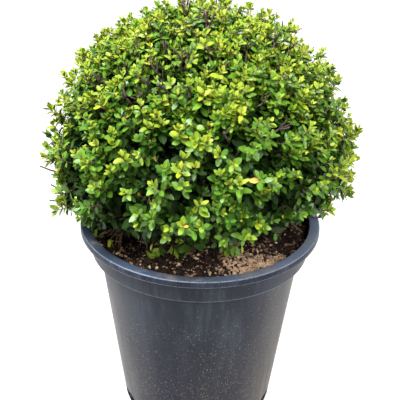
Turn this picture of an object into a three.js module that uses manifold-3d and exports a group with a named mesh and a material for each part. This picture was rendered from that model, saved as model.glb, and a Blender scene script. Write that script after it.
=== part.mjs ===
// Potted box honeysuckle ball: a small-leaved evergreen shrub, clipped to a ball, in a round
// nursery pot filled with compost. Millimetres, +Z up. The origin is the centre of the pot's
// flat underside, and the pot's front faces -Y.

import * as THREE from "three";
import { mergeVertices } from "three/addons/utils/BufferGeometryUtils.js";
import Module from "manifold-3d";

const wasm = await Module();
wasm.setup();

// Driving dimensions

// Gap between pieces that touch
const CLEARANCE = 0.3;

// The pot: a tapering body, a step out to an upright collar, and a flat flange with a lip
const POT = {
  height: 245,
  rimRadius: 140,
  flangeWidth: 12,
  lipHeight: 8,
  lipRound: 2.5,
  collarHeight: 34,
  collarTopRadius: 130.5,
  collarFootRadius: 127.5,
  stepHeight: 2,
  neckRadius: 118,
  footRadius: 89,
  footCorner: 7,
  wall: 2.4,
  floor: 3.2,
  segments: 40,
};

// Drain slots through the foot of the pot's wall, just over its floor
const DRAIN = { count: 8, width: 28, height: 15.4, sill: 3.6, round: 7, inward: 14, outward: 12, firstTurn: -21 };

// The compost: a plug that fills the pot, uneven on top and flat round the stem
const SOIL = {
  belowRim: 15,
  lump: 2.6,
  lumpTurn: 0.065,
  flatRadius: 32,
  evenOut: 20,
  edgeGap: 1.4,
  rings: 5,
};

// The clipped crown: half a ball above its widest level; below it the sides and back hang to the rim,
// and the front curves in higher up
const CROWN = { radius: 175, rise: 174, dropFront: 78, dropSide: 190, centreAboveRim: 88, floorAboveRim: 4 };

// The short stem under the crown, with its root flare
const STEM = {
  height: 42,
  flareRadius: 25,
  neckRadius: 13.5,
  topRadius: 11,
  flareShare: 0.45,
  lean: 3,
  sides: 12,
  steps: 6,
};

// Rings of foliage masses, each mass on a bough of its own; angles in degrees
const TIERS = [
  { name: "top", count: 1, polar: 0, firstTurn: 0, rootShare: 0.9, rootRadius: 5.6 },
  { name: "upper", count: 5, polar: 51, firstTurn: -54, rootShare: 0.56, rootRadius: 4.6 },
  { name: "lower", count: 7, polar: 97, firstTurn: -90, rootShare: 0.3, rootRadius: 4.4 },
];

// A bough: where it stops short of its mass's middle, its tip, and the bend that it rises from
const BOUGH = { shortBy: 60, tipRadius: 3, bendLevel: 0.5, bendRise: 0.22, sides: 6, steps: 3 };

// The dense cores: a thick, lumpy shell inside the crown, open below, shared by the masses in wedges
const CORE = {
  inner: 0.42,
  middle: 0.58,
  outer: 0.76,
  lump: 0.04,
  lumpTurn: 6.5,
  doorway: 62,
  aboveRim: 24,
  gap: 0.4,
  detail: 3,
};

// Twigs fan out from a core to tips spread evenly over the crown, set back from the mass's edges
const TWIG = {
  count: 116,
  lowestPolar: 128,
  rootRadius: 2.6,
  tipRadius: 1.6,
  short: 17,
  ragged: 8,
  setBack: 13,
  sides: 3,
};

// Every so many twigs one outgrows the clipped outline
const SPRIG = { every: 6, beyond: 11 };

// Opposite leaves in crossed pairs, larger than life; thick enough to hold together
const LEAF = { length: 36, vary: 0.14, width: 0.6, thickness: 0.045, widest: 0.44, droop: 0.12, sunk: 0.2 };

// A blade's corners, foot, left, tip, right and ridge, and the six faces between them
const BLADE = {
  corners: [-1, 0, 0, 0, 1, 0, 1, 0, 0, 0, -1, 0, 0, 0, 1],
  faces: [0, 3, 4, 3, 2, 4, 2, 1, 4, 1, 0, 4, 0, 1, 3, 1, 2, 3],
};

// Where the pairs sit below a twig's tip, and how far they open, in degrees
const PAIRS = [
  { below: 4, open: 46 },
  { below: 17, open: 74 },
];

// Room that leaves keep to other masses and to limbs, and how often one may turn or shrink to fit
const ROOM = { cell: 0.3, limb: 2, turns: 6, shrinks: 3, shrink: 0.82 };

// Start of the chance values that the twigs and leaves vary by
const SEED = 41;

const { degToRad, lerp, radToDeg, seededRandom, smoothstep } = THREE.MathUtils;
const UP = new THREE.Vector3(0, 0, 1);
const SOIL_LEVEL = POT.height - SOIL.belowRim;
const CROWN_CENTRE = new THREE.Vector3(0, 0, POT.height + CROWN.centreAboveRim);
const LEAF_FLOOR = POT.height + CROWN.floorAboveRim;
const STEM_FOOT = SOIL_LEVEL + CLEARANCE;

// Solids from geometries and back

function solidOf(geometry) {
  const bare = geometry.clone();
  for (const name of Object.keys(bare.attributes)) {
    if (name !== "position") bare.deleteAttribute(name);
  }
  const merged = mergeVertices(bare, 1e-4);
  const corners = merged.index.array;
  const triangles = [];
  for (let i = 0; i < corners.length; i += 3) {
    const [a, b, c] = [corners[i], corners[i + 1], corners[i + 2]];
    if (a !== b && b !== c && c !== a) triangles.push(a, b, c);
  }
  const vertProperties = new Float32Array(merged.attributes.position.array);
  const triVerts = new Uint32Array(triangles);
  return new wasm.Manifold(new wasm.Mesh({ numProp: 3, vertProperties, triVerts }));
}

function geometryOf(solid) {
  const mesh = solid.getMesh();
  const geometry = new THREE.BufferGeometry();
  geometry.setAttribute("position", new THREE.BufferAttribute(mesh.vertProperties, 3));
  geometry.setIndex(new THREE.BufferAttribute(mesh.triVerts, 1));
  geometry.computeVertexNormals();
  return geometry;
}

// The largest body of a solid: sealed hollows are filled and loose scraps dropped
function largestBody(solid) {
  const bodies = solid.decompose();
  return bodies.reduce((best, body) => (body.volume() > best.volume() ? body : best));
}

// Moves every vertex of a geometry by a function of its place
function reshape(geometry, place) {
  const position = geometry.attributes.position;
  const point = new THREE.Vector3();
  for (let i = 0; i < position.count; i += 1) {
    point.fromBufferAttribute(position, i);
    place(point);
    position.setXYZ(i, point.x, point.y, point.z);
  }
  return geometry;
}

// A tapering limb along a curve, closed at both ends by flat cuts across it
function limbGeometry(curve, radiusAt, sides, steps) {
  const frames = curve.computeFrenetFrames(steps);
  const geometry = new THREE.CylinderGeometry(1, 1, 1, sides, steps);
  return reshape(geometry, (point) => {
    const share = point.y + 0.5;
    const step = Math.round(share * steps);
    const radius = radiusAt(share);
    const across = frames.normals[step].clone().multiplyScalar(point.x * radius);
    const along = frames.binormals[step].clone().multiplyScalar(-point.z * radius);
    point.copy(curve.getPointAt(share)).add(across).add(along);
  });
}

// A direction by its angle from straight up and its turn from +X, in degrees
function directionOf(polar, turn) {
  const level = Math.sin(degToRad(polar));
  const azimuth = degToRad(turn);
  return new THREE.Vector3(level * Math.cos(azimuth), level * Math.sin(azimuth), Math.cos(degToRad(polar)));
}

// Pot

// Outer radius of the pot's tapering body
function bodyRadius(height) {
  const neckHeight = POT.height - POT.collarHeight - POT.stepHeight;
  return lerp(POT.footRadius, POT.neckRadius, height / neckHeight);
}

// A round piece from its half profile, radius along X and height along Y
function lathe(path, divisions) {
  const geometry = new THREE.LatheGeometry(path.getPoints(divisions), POT.segments);
  return geometry.rotateX(Math.PI / 2);
}

function potGeometry() {
  const stepTop = POT.height - POT.collarHeight;
  const neckHeight = stepTop - POT.stepHeight;
  const lipFoot = POT.height - POT.lipHeight;
  const flangeInner = POT.rimRadius - POT.flangeWidth;
  const profile = new THREE.Path();
  profile.moveTo(0, 0);
  profile.lineTo(POT.footRadius - POT.footCorner, 0);
  profile.quadraticCurveTo(POT.footRadius, 0, bodyRadius(POT.footCorner), POT.footCorner);
  profile.lineTo(POT.neckRadius, neckHeight);
  profile.lineTo(POT.collarFootRadius, stepTop);
  profile.lineTo(POT.collarTopRadius, lipFoot);
  profile.lineTo(POT.rimRadius, lipFoot);
  profile.lineTo(POT.rimRadius, POT.height - POT.lipRound);
  profile.quadraticCurveTo(POT.rimRadius, POT.height, POT.rimRadius - POT.lipRound, POT.height);
  profile.lineTo(flangeInner, POT.height);
  profile.lineTo(POT.collarTopRadius - POT.wall, lipFoot);
  profile.lineTo(POT.collarFootRadius - POT.wall, stepTop + POT.wall);
  profile.lineTo(POT.neckRadius - POT.wall, neckHeight);
  profile.lineTo(bodyRadius(POT.footCorner) - POT.wall, POT.footCorner);
  profile.lineTo(POT.footRadius - POT.footCorner, POT.floor);
  profile.lineTo(0, POT.floor);

  let solid = solidOf(lathe(profile, 3));
  const slot = drainSlot();
  for (let i = 0; i < DRAIN.count; i += 1) {
    const turn = degToRad(DRAIN.firstTurn + (360 / DRAIN.count) * i);
    solid = solid.subtract(solidOf(slot.clone().rotateZ(turn)));
  }
  return geometryOf(solid);
}

// A slot with rounded corners, lying along +X through the foot of the wall
function drainSlot() {
  const half = DRAIN.width / 2;
  const top = DRAIN.sill + DRAIN.height;
  const outline = new THREE.Shape();
  outline.moveTo(DRAIN.round - half, DRAIN.sill);
  outline.lineTo(half - DRAIN.round, DRAIN.sill);
  outline.quadraticCurveTo(half, DRAIN.sill, half, DRAIN.sill + DRAIN.round);
  outline.lineTo(half, top - DRAIN.round);
  outline.quadraticCurveTo(half, top, half - DRAIN.round, top);
  outline.lineTo(DRAIN.round - half, top);
  outline.quadraticCurveTo(-half, top, -half, top - DRAIN.round);
  outline.lineTo(-half, DRAIN.sill + DRAIN.round);
  outline.quadraticCurveTo(-half, DRAIN.sill, DRAIN.round - half, DRAIN.sill);
  const depth = DRAIN.inward + DRAIN.outward;
  const geometry = new THREE.ExtrudeGeometry(outline, { depth, bevelEnabled: false, curveSegments: 3 });
  geometry.rotateX(Math.PI / 2).rotateZ(Math.PI / 2);
  return geometry.translate(POT.footRadius - DRAIN.inward, 0, 0);
}

// Compost

// Height of the uneven top over its level, even round the stem
function soilLump(x, y) {
  const broad = Math.sin(SOIL.lumpTurn * x + 1) * Math.cos(SOIL.lumpTurn * y);
  const fine = Math.sin(2 * SOIL.lumpTurn * (x - y)) / 2;
  const away = smoothstep(Math.hypot(x, y), SOIL.flatRadius, SOIL.flatRadius + SOIL.evenOut);
  return SOIL.lump * (broad + fine) * away;
}

function soilGeometry() {
  const stepTop = POT.height - POT.collarHeight;
  const neckHeight = stepTop - POT.stepHeight;
  const inset = POT.wall + 2 * CLEARANCE;
  const edge = POT.collarTopRadius - POT.wall - SOIL.edgeGap;
  const profile = new THREE.Path();
  profile.moveTo(0, POT.floor + CLEARANCE);
  profile.lineTo(POT.footRadius - POT.footCorner - inset, POT.floor + CLEARANCE);
  profile.lineTo(bodyRadius(POT.footCorner) - inset, POT.footCorner);
  profile.lineTo(POT.neckRadius - inset, neckHeight);
  profile.lineTo(POT.collarFootRadius - inset, stepTop + POT.wall + CLEARANCE);
  profile.lineTo(edge, SOIL_LEVEL);
  for (let ring = SOIL.rings - 1; ring >= 0; ring -= 1) {
    profile.lineTo((edge * ring) / SOIL.rings, SOIL_LEVEL);
  }
  const geometry = reshape(lathe(profile, 1), (point) => {
    if (point.z > SOIL_LEVEL - CLEARANCE) point.z += soilLump(point.x, point.y);
  });
  return geometryOf(solidOf(geometry));
}

// Crown: its clipped outline and the cells that its masses keep to

// Distance from the crown's middle to its clipped outline
function crownReach(direction) {
  const level = Math.hypot(direction.x, direction.y);
  const behind = level > 0 ? direction.y / level : 0;
  const drop = lerp(CROWN.dropFront, CROWN.dropSide, Math.min(1, Math.sqrt(1 + behind)));
  const upright = direction.z > 0 ? CROWN.rise : drop;
  return 1 / Math.hypot(level / CROWN.radius, direction.z / upright);
}

// The masses: the direction of each from the crown's middle, and the walls of its cell there
function makeMasses() {
  const masses = [];
  for (const tier of TIERS) {
    for (let i = 0; i < tier.count; i += 1) {
      const direction = directionOf(tier.polar, tier.firstTurn + (360 / tier.count) * i);
      const name = tier.count > 1 ? `${tier.name}_${i + 1}` : tier.name;
      const middle = direction.clone().multiplyScalar(CORE.middle * crownReach(direction)).add(CROWN_CENTRE);
      masses.push({ name, tier, direction, middle });
    }
  }
  for (const mass of masses) {
    mass.walls = masses.filter((other) => other !== mass)
      .map((other) => mass.direction.clone().sub(other.direction).normalize());
  }
  return masses;
}

// How far a point lies inside a mass's cell
function cellDepth(mass, point) {
  const offset = point.clone().sub(CROWN_CENTRE);
  return Math.min(...mass.walls.map((wall) => wall.dot(offset)));
}

// Stem and boughs

// The stem's line, upright at its foot and leaning a little at its top
function stemCurve() {
  const foot = new THREE.Vector3(0, 0, STEM_FOOT);
  const middle = new THREE.Vector3(0, 0, STEM_FOOT + STEM.height / 2);
  const top = new THREE.Vector3(STEM.lean, STEM.lean / 2, STEM_FOOT + STEM.height);
  return new THREE.QuadraticBezierCurve3(foot, middle, top);
}

function stemRadius(share) {
  const flare = 1 - smoothstep(share, 0, STEM.flareShare);
  return lerp(STEM.neckRadius, STEM.topRadius, share) + (STEM.flareRadius - STEM.neckRadius) * flare * flare;
}

function stemGeometry(grow) {
  return limbGeometry(stemCurve(), (share) => stemRadius(share) + grow, STEM.sides, STEM.steps);
}

// The bough's line from the stem to a point short of its mass's middle
function boughCurve(mass) {
  const root = stemCurve().getPointAt(mass.tier.rootShare);
  const run = mass.middle.clone().sub(root).normalize();
  const tip = mass.middle.clone().addScaledVector(run, -BOUGH.shortBy);
  const bend = root.clone().lerp(tip, BOUGH.bendLevel);
  bend.z = lerp(root.z, tip.z, BOUGH.bendRise);
  return new THREE.QuadraticBezierCurve3(root, bend, tip);
}

// A bough that grows out of the stem, cut back to stay just clear of it
function boughGeometry(mass) {
  const radiusAt = (share) => lerp(mass.tier.rootRadius, BOUGH.tipRadius, share);
  const limb = solidOf(limbGeometry(boughCurve(mass), radiusAt, BOUGH.sides, BOUGH.steps));
  const stem = solidOf(stemGeometry(CLEARANCE).translate(0, 0, CLEARANCE));
  return geometryOf(largestBody(limb.subtract(stem)));
}

// Foliage masses

// The crown's form at a share of its size, with low lumps
function crownSolid(share) {
  return solidOf(reshape(new THREE.IcosahedronGeometry(1, CORE.detail), (point) => {
    const { x, y, z } = point;
    const lump = CORE.lump * Math.sin(CORE.lumpTurn * (x + z / 2)) * Math.sin(CORE.lumpTurn * (y - z));
    point.multiplyScalar((share + lump) * crownReach(point)).add(CROWN_CENTRE);
  }));
}

// The shell that the cores are cut from, level below, with a round doorway there for the boughs
function coreShell() {
  const size = 2 * CROWN.radius;
  const ground = new THREE.BoxGeometry(size, size, size);
  ground.translate(0, 0, POT.height + CORE.aboveRim - size / 2);
  const doorway = new THREE.CylinderGeometry(CORE.doorway, CORE.doorway, size, POT.segments / 2);
  doorway.rotateX(Math.PI / 2).translate(0, 0, CROWN_CENTRE.z - size / 2);
  return [crownSolid(CORE.inner), solidOf(doorway), solidOf(ground)]
    .reduce((shell, cutter) => shell.subtract(cutter), crownSolid(CORE.outer));
}

// A mass's wedge of the shell, cut back from each of its neighbours
function coreSolid(mass, shell) {
  const size = 4 * CROWN.radius;
  return mass.walls.reduce((wedge, wall) => {
    const beyond = new THREE.BoxGeometry(size, size, size).translate(0, 0, CORE.gap - size / 2);
    beyond.applyQuaternion(new THREE.Quaternion().setFromUnitVectors(UP, wall));
    beyond.translate(...CROWN_CENTRE.toArray());
    return wedge.subtract(solidOf(beyond));
  }, shell);
}

// The mass's own stem, from just past its bough's tip to its middle
function massStemGeometry(mass) {
  const bough = boughCurve(mass);
  const run = bough.getTangentAt(1);
  const start = bough.getPointAt(1).addScaledVector(run, CLEARANCE);
  const bend = start.clone().addScaledVector(run, BOUGH.shortBy / 2);
  const curve = new THREE.QuadraticBezierCurve3(start, bend, mass.middle);
  return limbGeometry(curve, () => BOUGH.tipRadius, BOUGH.sides, 2);
}

// Directions spread evenly over the crown by the golden angle, from its top to its underside
function twigDirections() {
  const goldenAngle = 180 * (3 - Math.sqrt(5));
  const lowest = Math.cos(degToRad(TWIG.lowestPolar));
  return Array.from({ length: TWIG.count }, (_, i) => {
    const height = lerp(1, lowest, (i + 0.5) / TWIG.count);
    return directionOf(radToDeg(Math.acos(height)), goldenAngle * i);
  });
}

// One blade along its direction, its ridged upper face towards the twig's tip
function leafGeometry(base, direction, upper, length) {
  const across = upper.clone().cross(direction);
  return reshape(new THREE.PolyhedronGeometry(BLADE.corners, BLADE.faces), (point) => {
    const { x, y, z } = point;
    const share = x === 0 ? LEAF.widest : (x + 1) / 2;
    point.copy(base).addScaledVector(direction, length * share - LEAF.sunk);
    point.addScaledVector(across, (length * LEAF.width * y) / 2);
    point.addScaledVector(upper, length * (LEAF.thickness * z - LEAF.droop * share * share));
  });
}

// Whether all corners of a piece keep to the mass's space and stay clear of the limbs
function fits(geometry, mass, beyond, limbPoints) {
  const position = geometry.attributes.position;
  const point = new THREE.Vector3();
  for (let i = 0; i < position.count; i += 1) {
    point.fromBufferAttribute(position, i);
    if (point.z < LEAF_FLOOR || cellDepth(mass, point) < ROOM.cell) return false;
    const offset = point.clone().sub(CROWN_CENTRE);
    if (offset.length() > crownReach(offset.clone().normalize()) + beyond) return false;
    if (limbPoints.some((limb) => limb.distanceTo(point) < BOUGH.tipRadius * 2 + ROOM.limb)) return false;
  }
  return true;
}

// Whether a leaf stands clear of the twigs and leaves that are there already
function standsClear(solid, neighbours) {
  return neighbours.every((other) => solid.intersect(other).isEmpty());
}

// One leaf on a twig, turned and shrunk until it fits, or nothing where it can't
function growLeaf(mass, twig, { below, open }, firstTurn, neighbours, limbPoints) {
  const { run, side, tip, beyond } = twig;
  const base = tip.clone().addScaledVector(run, -below);
  const length = LEAF.length * (1 + LEAF.vary * (2 * seededRandom() - 1));
  const rise = Math.cos(degToRad(open));
  const spread = Math.sin(degToRad(open));
  for (let attempt = 0; attempt < ROOM.turns * ROOM.shrinks; attempt += 1) {
    const turn = firstTurn + ((attempt % ROOM.turns) * Math.PI) / (2 * ROOM.turns);
    const outward = side.clone().applyAxisAngle(run, turn);
    const along = run.clone().multiplyScalar(rise).addScaledVector(outward, spread);
    const upper = run.clone().multiplyScalar(spread).addScaledVector(outward, -rise);
    const size = length * ROOM.shrink ** Math.floor(attempt / ROOM.turns);
    const geometry = leafGeometry(base, along, upper, size);
    if (!fits(geometry, mass, beyond, limbPoints)) continue;
    const solid = solidOf(geometry);
    if (standsClear(solid, neighbours)) return solid;
  }
  return null;
}

// Gives each twig opposite pairs of leaves, each pair crossing the one above it
function growLeaves(mass, twigs, limbPoints) {
  PAIRS.forEach((pair, rank) => {
    for (const twig of twigs) {
      const neighbours = twigs.filter((other) => other !== twig).flatMap((other) => other.pieces);
      for (const half of [0, 1]) {
        const leaf = growLeaf(mass, twig, pair, Math.PI * (half + rank / 2), neighbours, limbPoints);
        if (leaf) twig.pieces.push(leaf);
      }
    }
  });
}

// A twig from the mass's middle to its tip, or nothing where it would leave the mass's space
function growTwig(mass, { direction, index }) {
  const sprig = index % SPRIG.every === 0;
  const beyond = sprig ? SPRIG.beyond : 0;
  const ragged = sprig ? 0 : TWIG.ragged * seededRandom();
  const tip = direction.clone().multiplyScalar(crownReach(direction));
  for (const wall of mass.walls) {
    tip.addScaledVector(wall, Math.max(0, TWIG.setBack - wall.dot(tip)));
  }
  tip.setLength(crownReach(tip.clone().normalize()) + beyond - TWIG.short - ragged).add(CROWN_CENTRE);
  const radiusAt = (share) => lerp(TWIG.rootRadius, TWIG.tipRadius, share);
  const geometry = limbGeometry(new THREE.LineCurve3(mass.middle, tip), radiusAt, TWIG.sides, 1);
  const run = tip.clone().sub(mass.middle).normalize();
  const level = Math.abs(run.z) < 0.9 ? UP : new THREE.Vector3(1, 0, 0);
  const side = run.clone().cross(level).normalize().applyAxisAngle(run, seededRandom() * Math.PI);
  return fits(geometry, mass, beyond, []) ? { pieces: [solidOf(geometry)], run, side, tip, beyond } : null;
}

// Core, stem, twigs and leaves of one mass, fused into one body
function foliageGeometry(mass, directions, limbPoints, shell) {
  seededRandom(SEED + directions[0].index);
  const twigs = directions.map((direction) => growTwig(mass, direction)).filter(Boolean);
  growLeaves(mass, twigs, limbPoints);
  const pieces = [solidOf(massStemGeometry(mass)), ...twigs.flatMap((twig) => twig.pieces)];
  return geometryOf(largestBody(pieces.reduce((sum, piece) => sum.add(piece), coreSolid(mass, shell))));
}

// The whole plant in its pot

function finish(color, roughness) {
  return new THREE.MeshStandardMaterial({ color, roughness, metalness: 0 });
}

const plant = new THREE.Group();

function place(name, geometry, material) {
  const mesh = new THREE.Mesh(geometry, material);
  mesh.name = name;
  plant.add(mesh);
}

place("pot", potGeometry(), finish(0x3c3f45, 0.45));
place("soil", soilGeometry(), finish(0x43372f, 0.95));
place("stem", geometryOf(solidOf(stemGeometry(0))), finish(0x5d4b3a, 0.9));

const masses = makeMasses();
const limbPoints = masses.flatMap((mass) => boughCurve(mass).getSpacedPoints(12));
const directions = twigDirections().map((direction, index) => ({ direction, index }));
const shell = coreShell();

for (const mass of masses) {
  const nearest = ({ direction }) => cellDepth(mass, direction.clone().add(CROWN_CENTRE)) > 0;
  place(`bough_${mass.name}`, boughGeometry(mass), finish(0x66533f, 0.85));
  const foliage = foliageGeometry(mass, directions.filter(nearest), limbPoints, shell);
  place(`foliage_${mass.name}`, foliage, finish(0x647c39, 0.5));
}

export default plant;
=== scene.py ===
"""Looks of the potted box honeysuckle ball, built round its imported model.

A small-leaved evergreen shrub, clipped to a ball, in a round dark nursery pot. The pot, the compost, the stem
and the boughs are modelled here in full, and the foliage masses are replaced by twigs, shoots and leaves that
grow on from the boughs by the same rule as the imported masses. Sizes are in millimetres until a mesh is made.
"""
import logging
import math
from dataclasses import dataclass, field
from enum import Enum, IntEnum
from typing import Iterable, Mapping, Self, Sequence

import bmesh
import bpy
import numpy as np
from mathutils import Matrix


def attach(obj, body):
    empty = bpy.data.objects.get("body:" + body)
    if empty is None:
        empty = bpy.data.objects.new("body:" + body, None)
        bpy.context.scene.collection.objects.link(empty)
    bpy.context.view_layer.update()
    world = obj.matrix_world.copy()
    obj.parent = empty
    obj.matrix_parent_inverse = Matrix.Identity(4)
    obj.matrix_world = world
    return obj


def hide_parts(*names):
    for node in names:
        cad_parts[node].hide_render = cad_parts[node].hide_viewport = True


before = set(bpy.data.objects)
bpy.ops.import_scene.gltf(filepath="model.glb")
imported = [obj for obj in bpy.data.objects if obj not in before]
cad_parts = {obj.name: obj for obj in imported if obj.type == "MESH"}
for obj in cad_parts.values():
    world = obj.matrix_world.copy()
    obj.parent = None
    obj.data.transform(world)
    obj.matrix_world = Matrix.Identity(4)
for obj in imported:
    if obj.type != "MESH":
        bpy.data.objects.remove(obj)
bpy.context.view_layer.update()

MM = 0.001
BODY = "root"
TONE = "tone"
FLAT = "leaf_flat"
GOLDEN_TURN = math.pi * (3 - math.sqrt(5))
UP = np.array((0.0, 0.0, 1.0))
ASIDE = np.array((1.0, 0.0, 0.0))
STEEP = 0.8
LOG = logging.getLogger("potted_shrub")

Pair = tuple[float, float]
Triple = tuple[float, float, float]
Colour = Triple
Number = float | np.ndarray
Arrays = tuple[np.ndarray, np.ndarray, np.ndarray]


class Slot(str, Enum):
    """The record's material slots."""

    POT = "pot"
    SOIL = "soil"
    BARK = "bark"
    FOLIAGE = "foliage"


class LeafKind(IntEnum):
    """Leaves by age and state, each kind a finish of its own; the old kind is dark partly as painted shade
    deep in the crown, and the shade kind is dark leaves set where the crown's inside lies in shade, as painted
    shade.
    """

    TIP = 0
    FRESH = 1
    GROWN = 2
    OLD = 3
    SHADE = 4
    TURNED = 5


# Vector helpers


def unit(vectors: np.ndarray) -> np.ndarray:
    """Rows of an array at length one."""
    return vectors / np.maximum(np.linalg.norm(vectors, axis=-1, keepdims=True), 1e-9)


def blend(low: Number, high: Number, share: Number) -> np.ndarray:
    """Straight mix of two values."""
    return low + (high - low) * share


def ease(value: Number, low: float, high: float) -> np.ndarray:
    """Smooth step from 0 at low to 1 at high."""
    share = np.clip((value - low) / (high - low), 0.0, 1.0)
    return share * share * (3 - 2 * share)


def direction_of(polar: np.ndarray, turn: np.ndarray) -> np.ndarray:
    """Unit vectors from angles off the vertical and about it, in radians."""
    level = np.sin(polar)
    return np.stack((level * np.cos(turn), level * np.sin(turn), np.cos(polar) + 0 * level), axis=-1)


def ways_of(angles: Sequence[Sequence[float]]) -> np.ndarray:
    """Unit vectors from rows that start with those two angles, in degrees."""
    return direction_of(*np.radians(np.array(angles)[:, :2]).T)


def polar_of(direction: np.ndarray) -> np.ndarray:
    """Angles of directions off the vertical."""
    return np.arccos(np.clip(direction[:, 2], -1, 1))


def sides_of(run: np.ndarray, first: np.ndarray) -> tuple[np.ndarray, np.ndarray]:
    """Two directions square to each run and to each other.

    Args:
        run: Unit directions along lines.
        first: Each line's first direction, by which its side is picked.

    Returns:
        The two directions for each run.
    """
    level = np.where(np.abs(first[..., 2:]) < STEEP, UP, ASIDE)
    side = unit(np.cross(run, np.broadcast_to(level, run.shape)))
    return side, np.cross(run, side)


class Rows:
    """Things of one sort, held as arrays with a row for each."""

    def chosen(self, rows: np.ndarray) -> Self:
        """Some of the rows."""
        return type(self)(*(part[rows] for part in vars(self).values()))

    @classmethod
    def gathered(cls, lots: Iterable[Self]) -> Self:
        """Several lots as one."""
        return cls(*(np.concatenate(parts) for parts in zip(*(vars(lot).values() for lot in lots))))


@dataclass
class Arc(Rows):
    """Quadratic curves, one for each row."""

    start: np.ndarray
    bend: np.ndarray
    end: np.ndarray

    def at(self, share: Number) -> np.ndarray:
        """Points at a share of the way along each curve."""
        s = np.asarray(share, dtype=float)[..., None]
        return (1 - s) ** 2 * self.start + 2 * s * (1 - s) * self.bend + s * s * self.end

    def run(self, share: Number) -> np.ndarray:
        """Unit tangents at a share of the way along each curve."""
        s = np.asarray(share, dtype=float)[..., None]
        return unit(2 * (1 - s) * (self.bend - self.start) + 2 * s * (self.end - self.bend))

    def points(self, steps: int) -> np.ndarray:
        """Evenly shared points along each curve, rows by steps by axes."""
        shares = np.linspace(0, 1, steps)
        return np.stack([self.at(np.full(len(self.start), share)) for share in shares], axis=1)

    @property
    def length(self) -> np.ndarray:
        """Chord lengths from start to end."""
        return np.linalg.norm(self.end - self.start, axis=-1)


# Shader sheets


class Value:
    """A node's output that Python operators add Math nodes to."""

    def __init__(self, sheet: "Sheet", socket: bpy.types.NodeSocket) -> None:
        """Keeps the output and the sheet that it is on."""
        self.sheet = sheet
        self.socket = socket

    def math(self, operation: str, *others: "float | Value") -> "Value":
        """One Math node with this value first."""
        return self.sheet.node("ShaderNodeMath", {"operation": operation}, dict(enumerate((self, *others))))

    def __add__(self, other: "float | Value") -> "Value":
        """Sum."""
        return self.math("ADD", other)

    __radd__ = __add__

    def __sub__(self, other: "float | Value") -> "Value":
        """Difference."""
        return self.math("SUBTRACT", other)

    def __rsub__(self, other: float) -> "Value":
        """Difference from a number."""
        return self.math("MULTIPLY_ADD", -1.0, other)

    def __mul__(self, other: "float | Value") -> "Value":
        """Product."""
        return self.math("MULTIPLY", other)

    __rmul__ = __mul__

    def __truediv__(self, other: "float | Value") -> "Value":
        """Quotient."""
        return self.math("DIVIDE", other)

    def __pow__(self, other: "float | Value") -> "Value":
        """Power."""
        return self.math("POWER", other)

    def __abs__(self) -> "Value":
        """Size without sign."""
        return self.math("ABSOLUTE")

    def band(self, low: float, high: float) -> "Value":
        """Smooth step.

        Args:
            low: Where it is 0.
            high: Where it is 1, above or below that.

        Returns:
            The step.
        """
        if low > high:
            return 1 - self.band(high, low)
        sockets = {"Value": self, "From Min": low, "From Max": high}
        return self.sheet.node("ShaderNodeMapRange", {"interpolation_type": "SMOOTHSTEP"}, sockets)

    def near(self, middle: float, reach: float) -> "Value":
        """One at the middle, fading to nothing at a reach to both sides."""
        return abs(self - middle).band(reach, 0.0)


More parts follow.
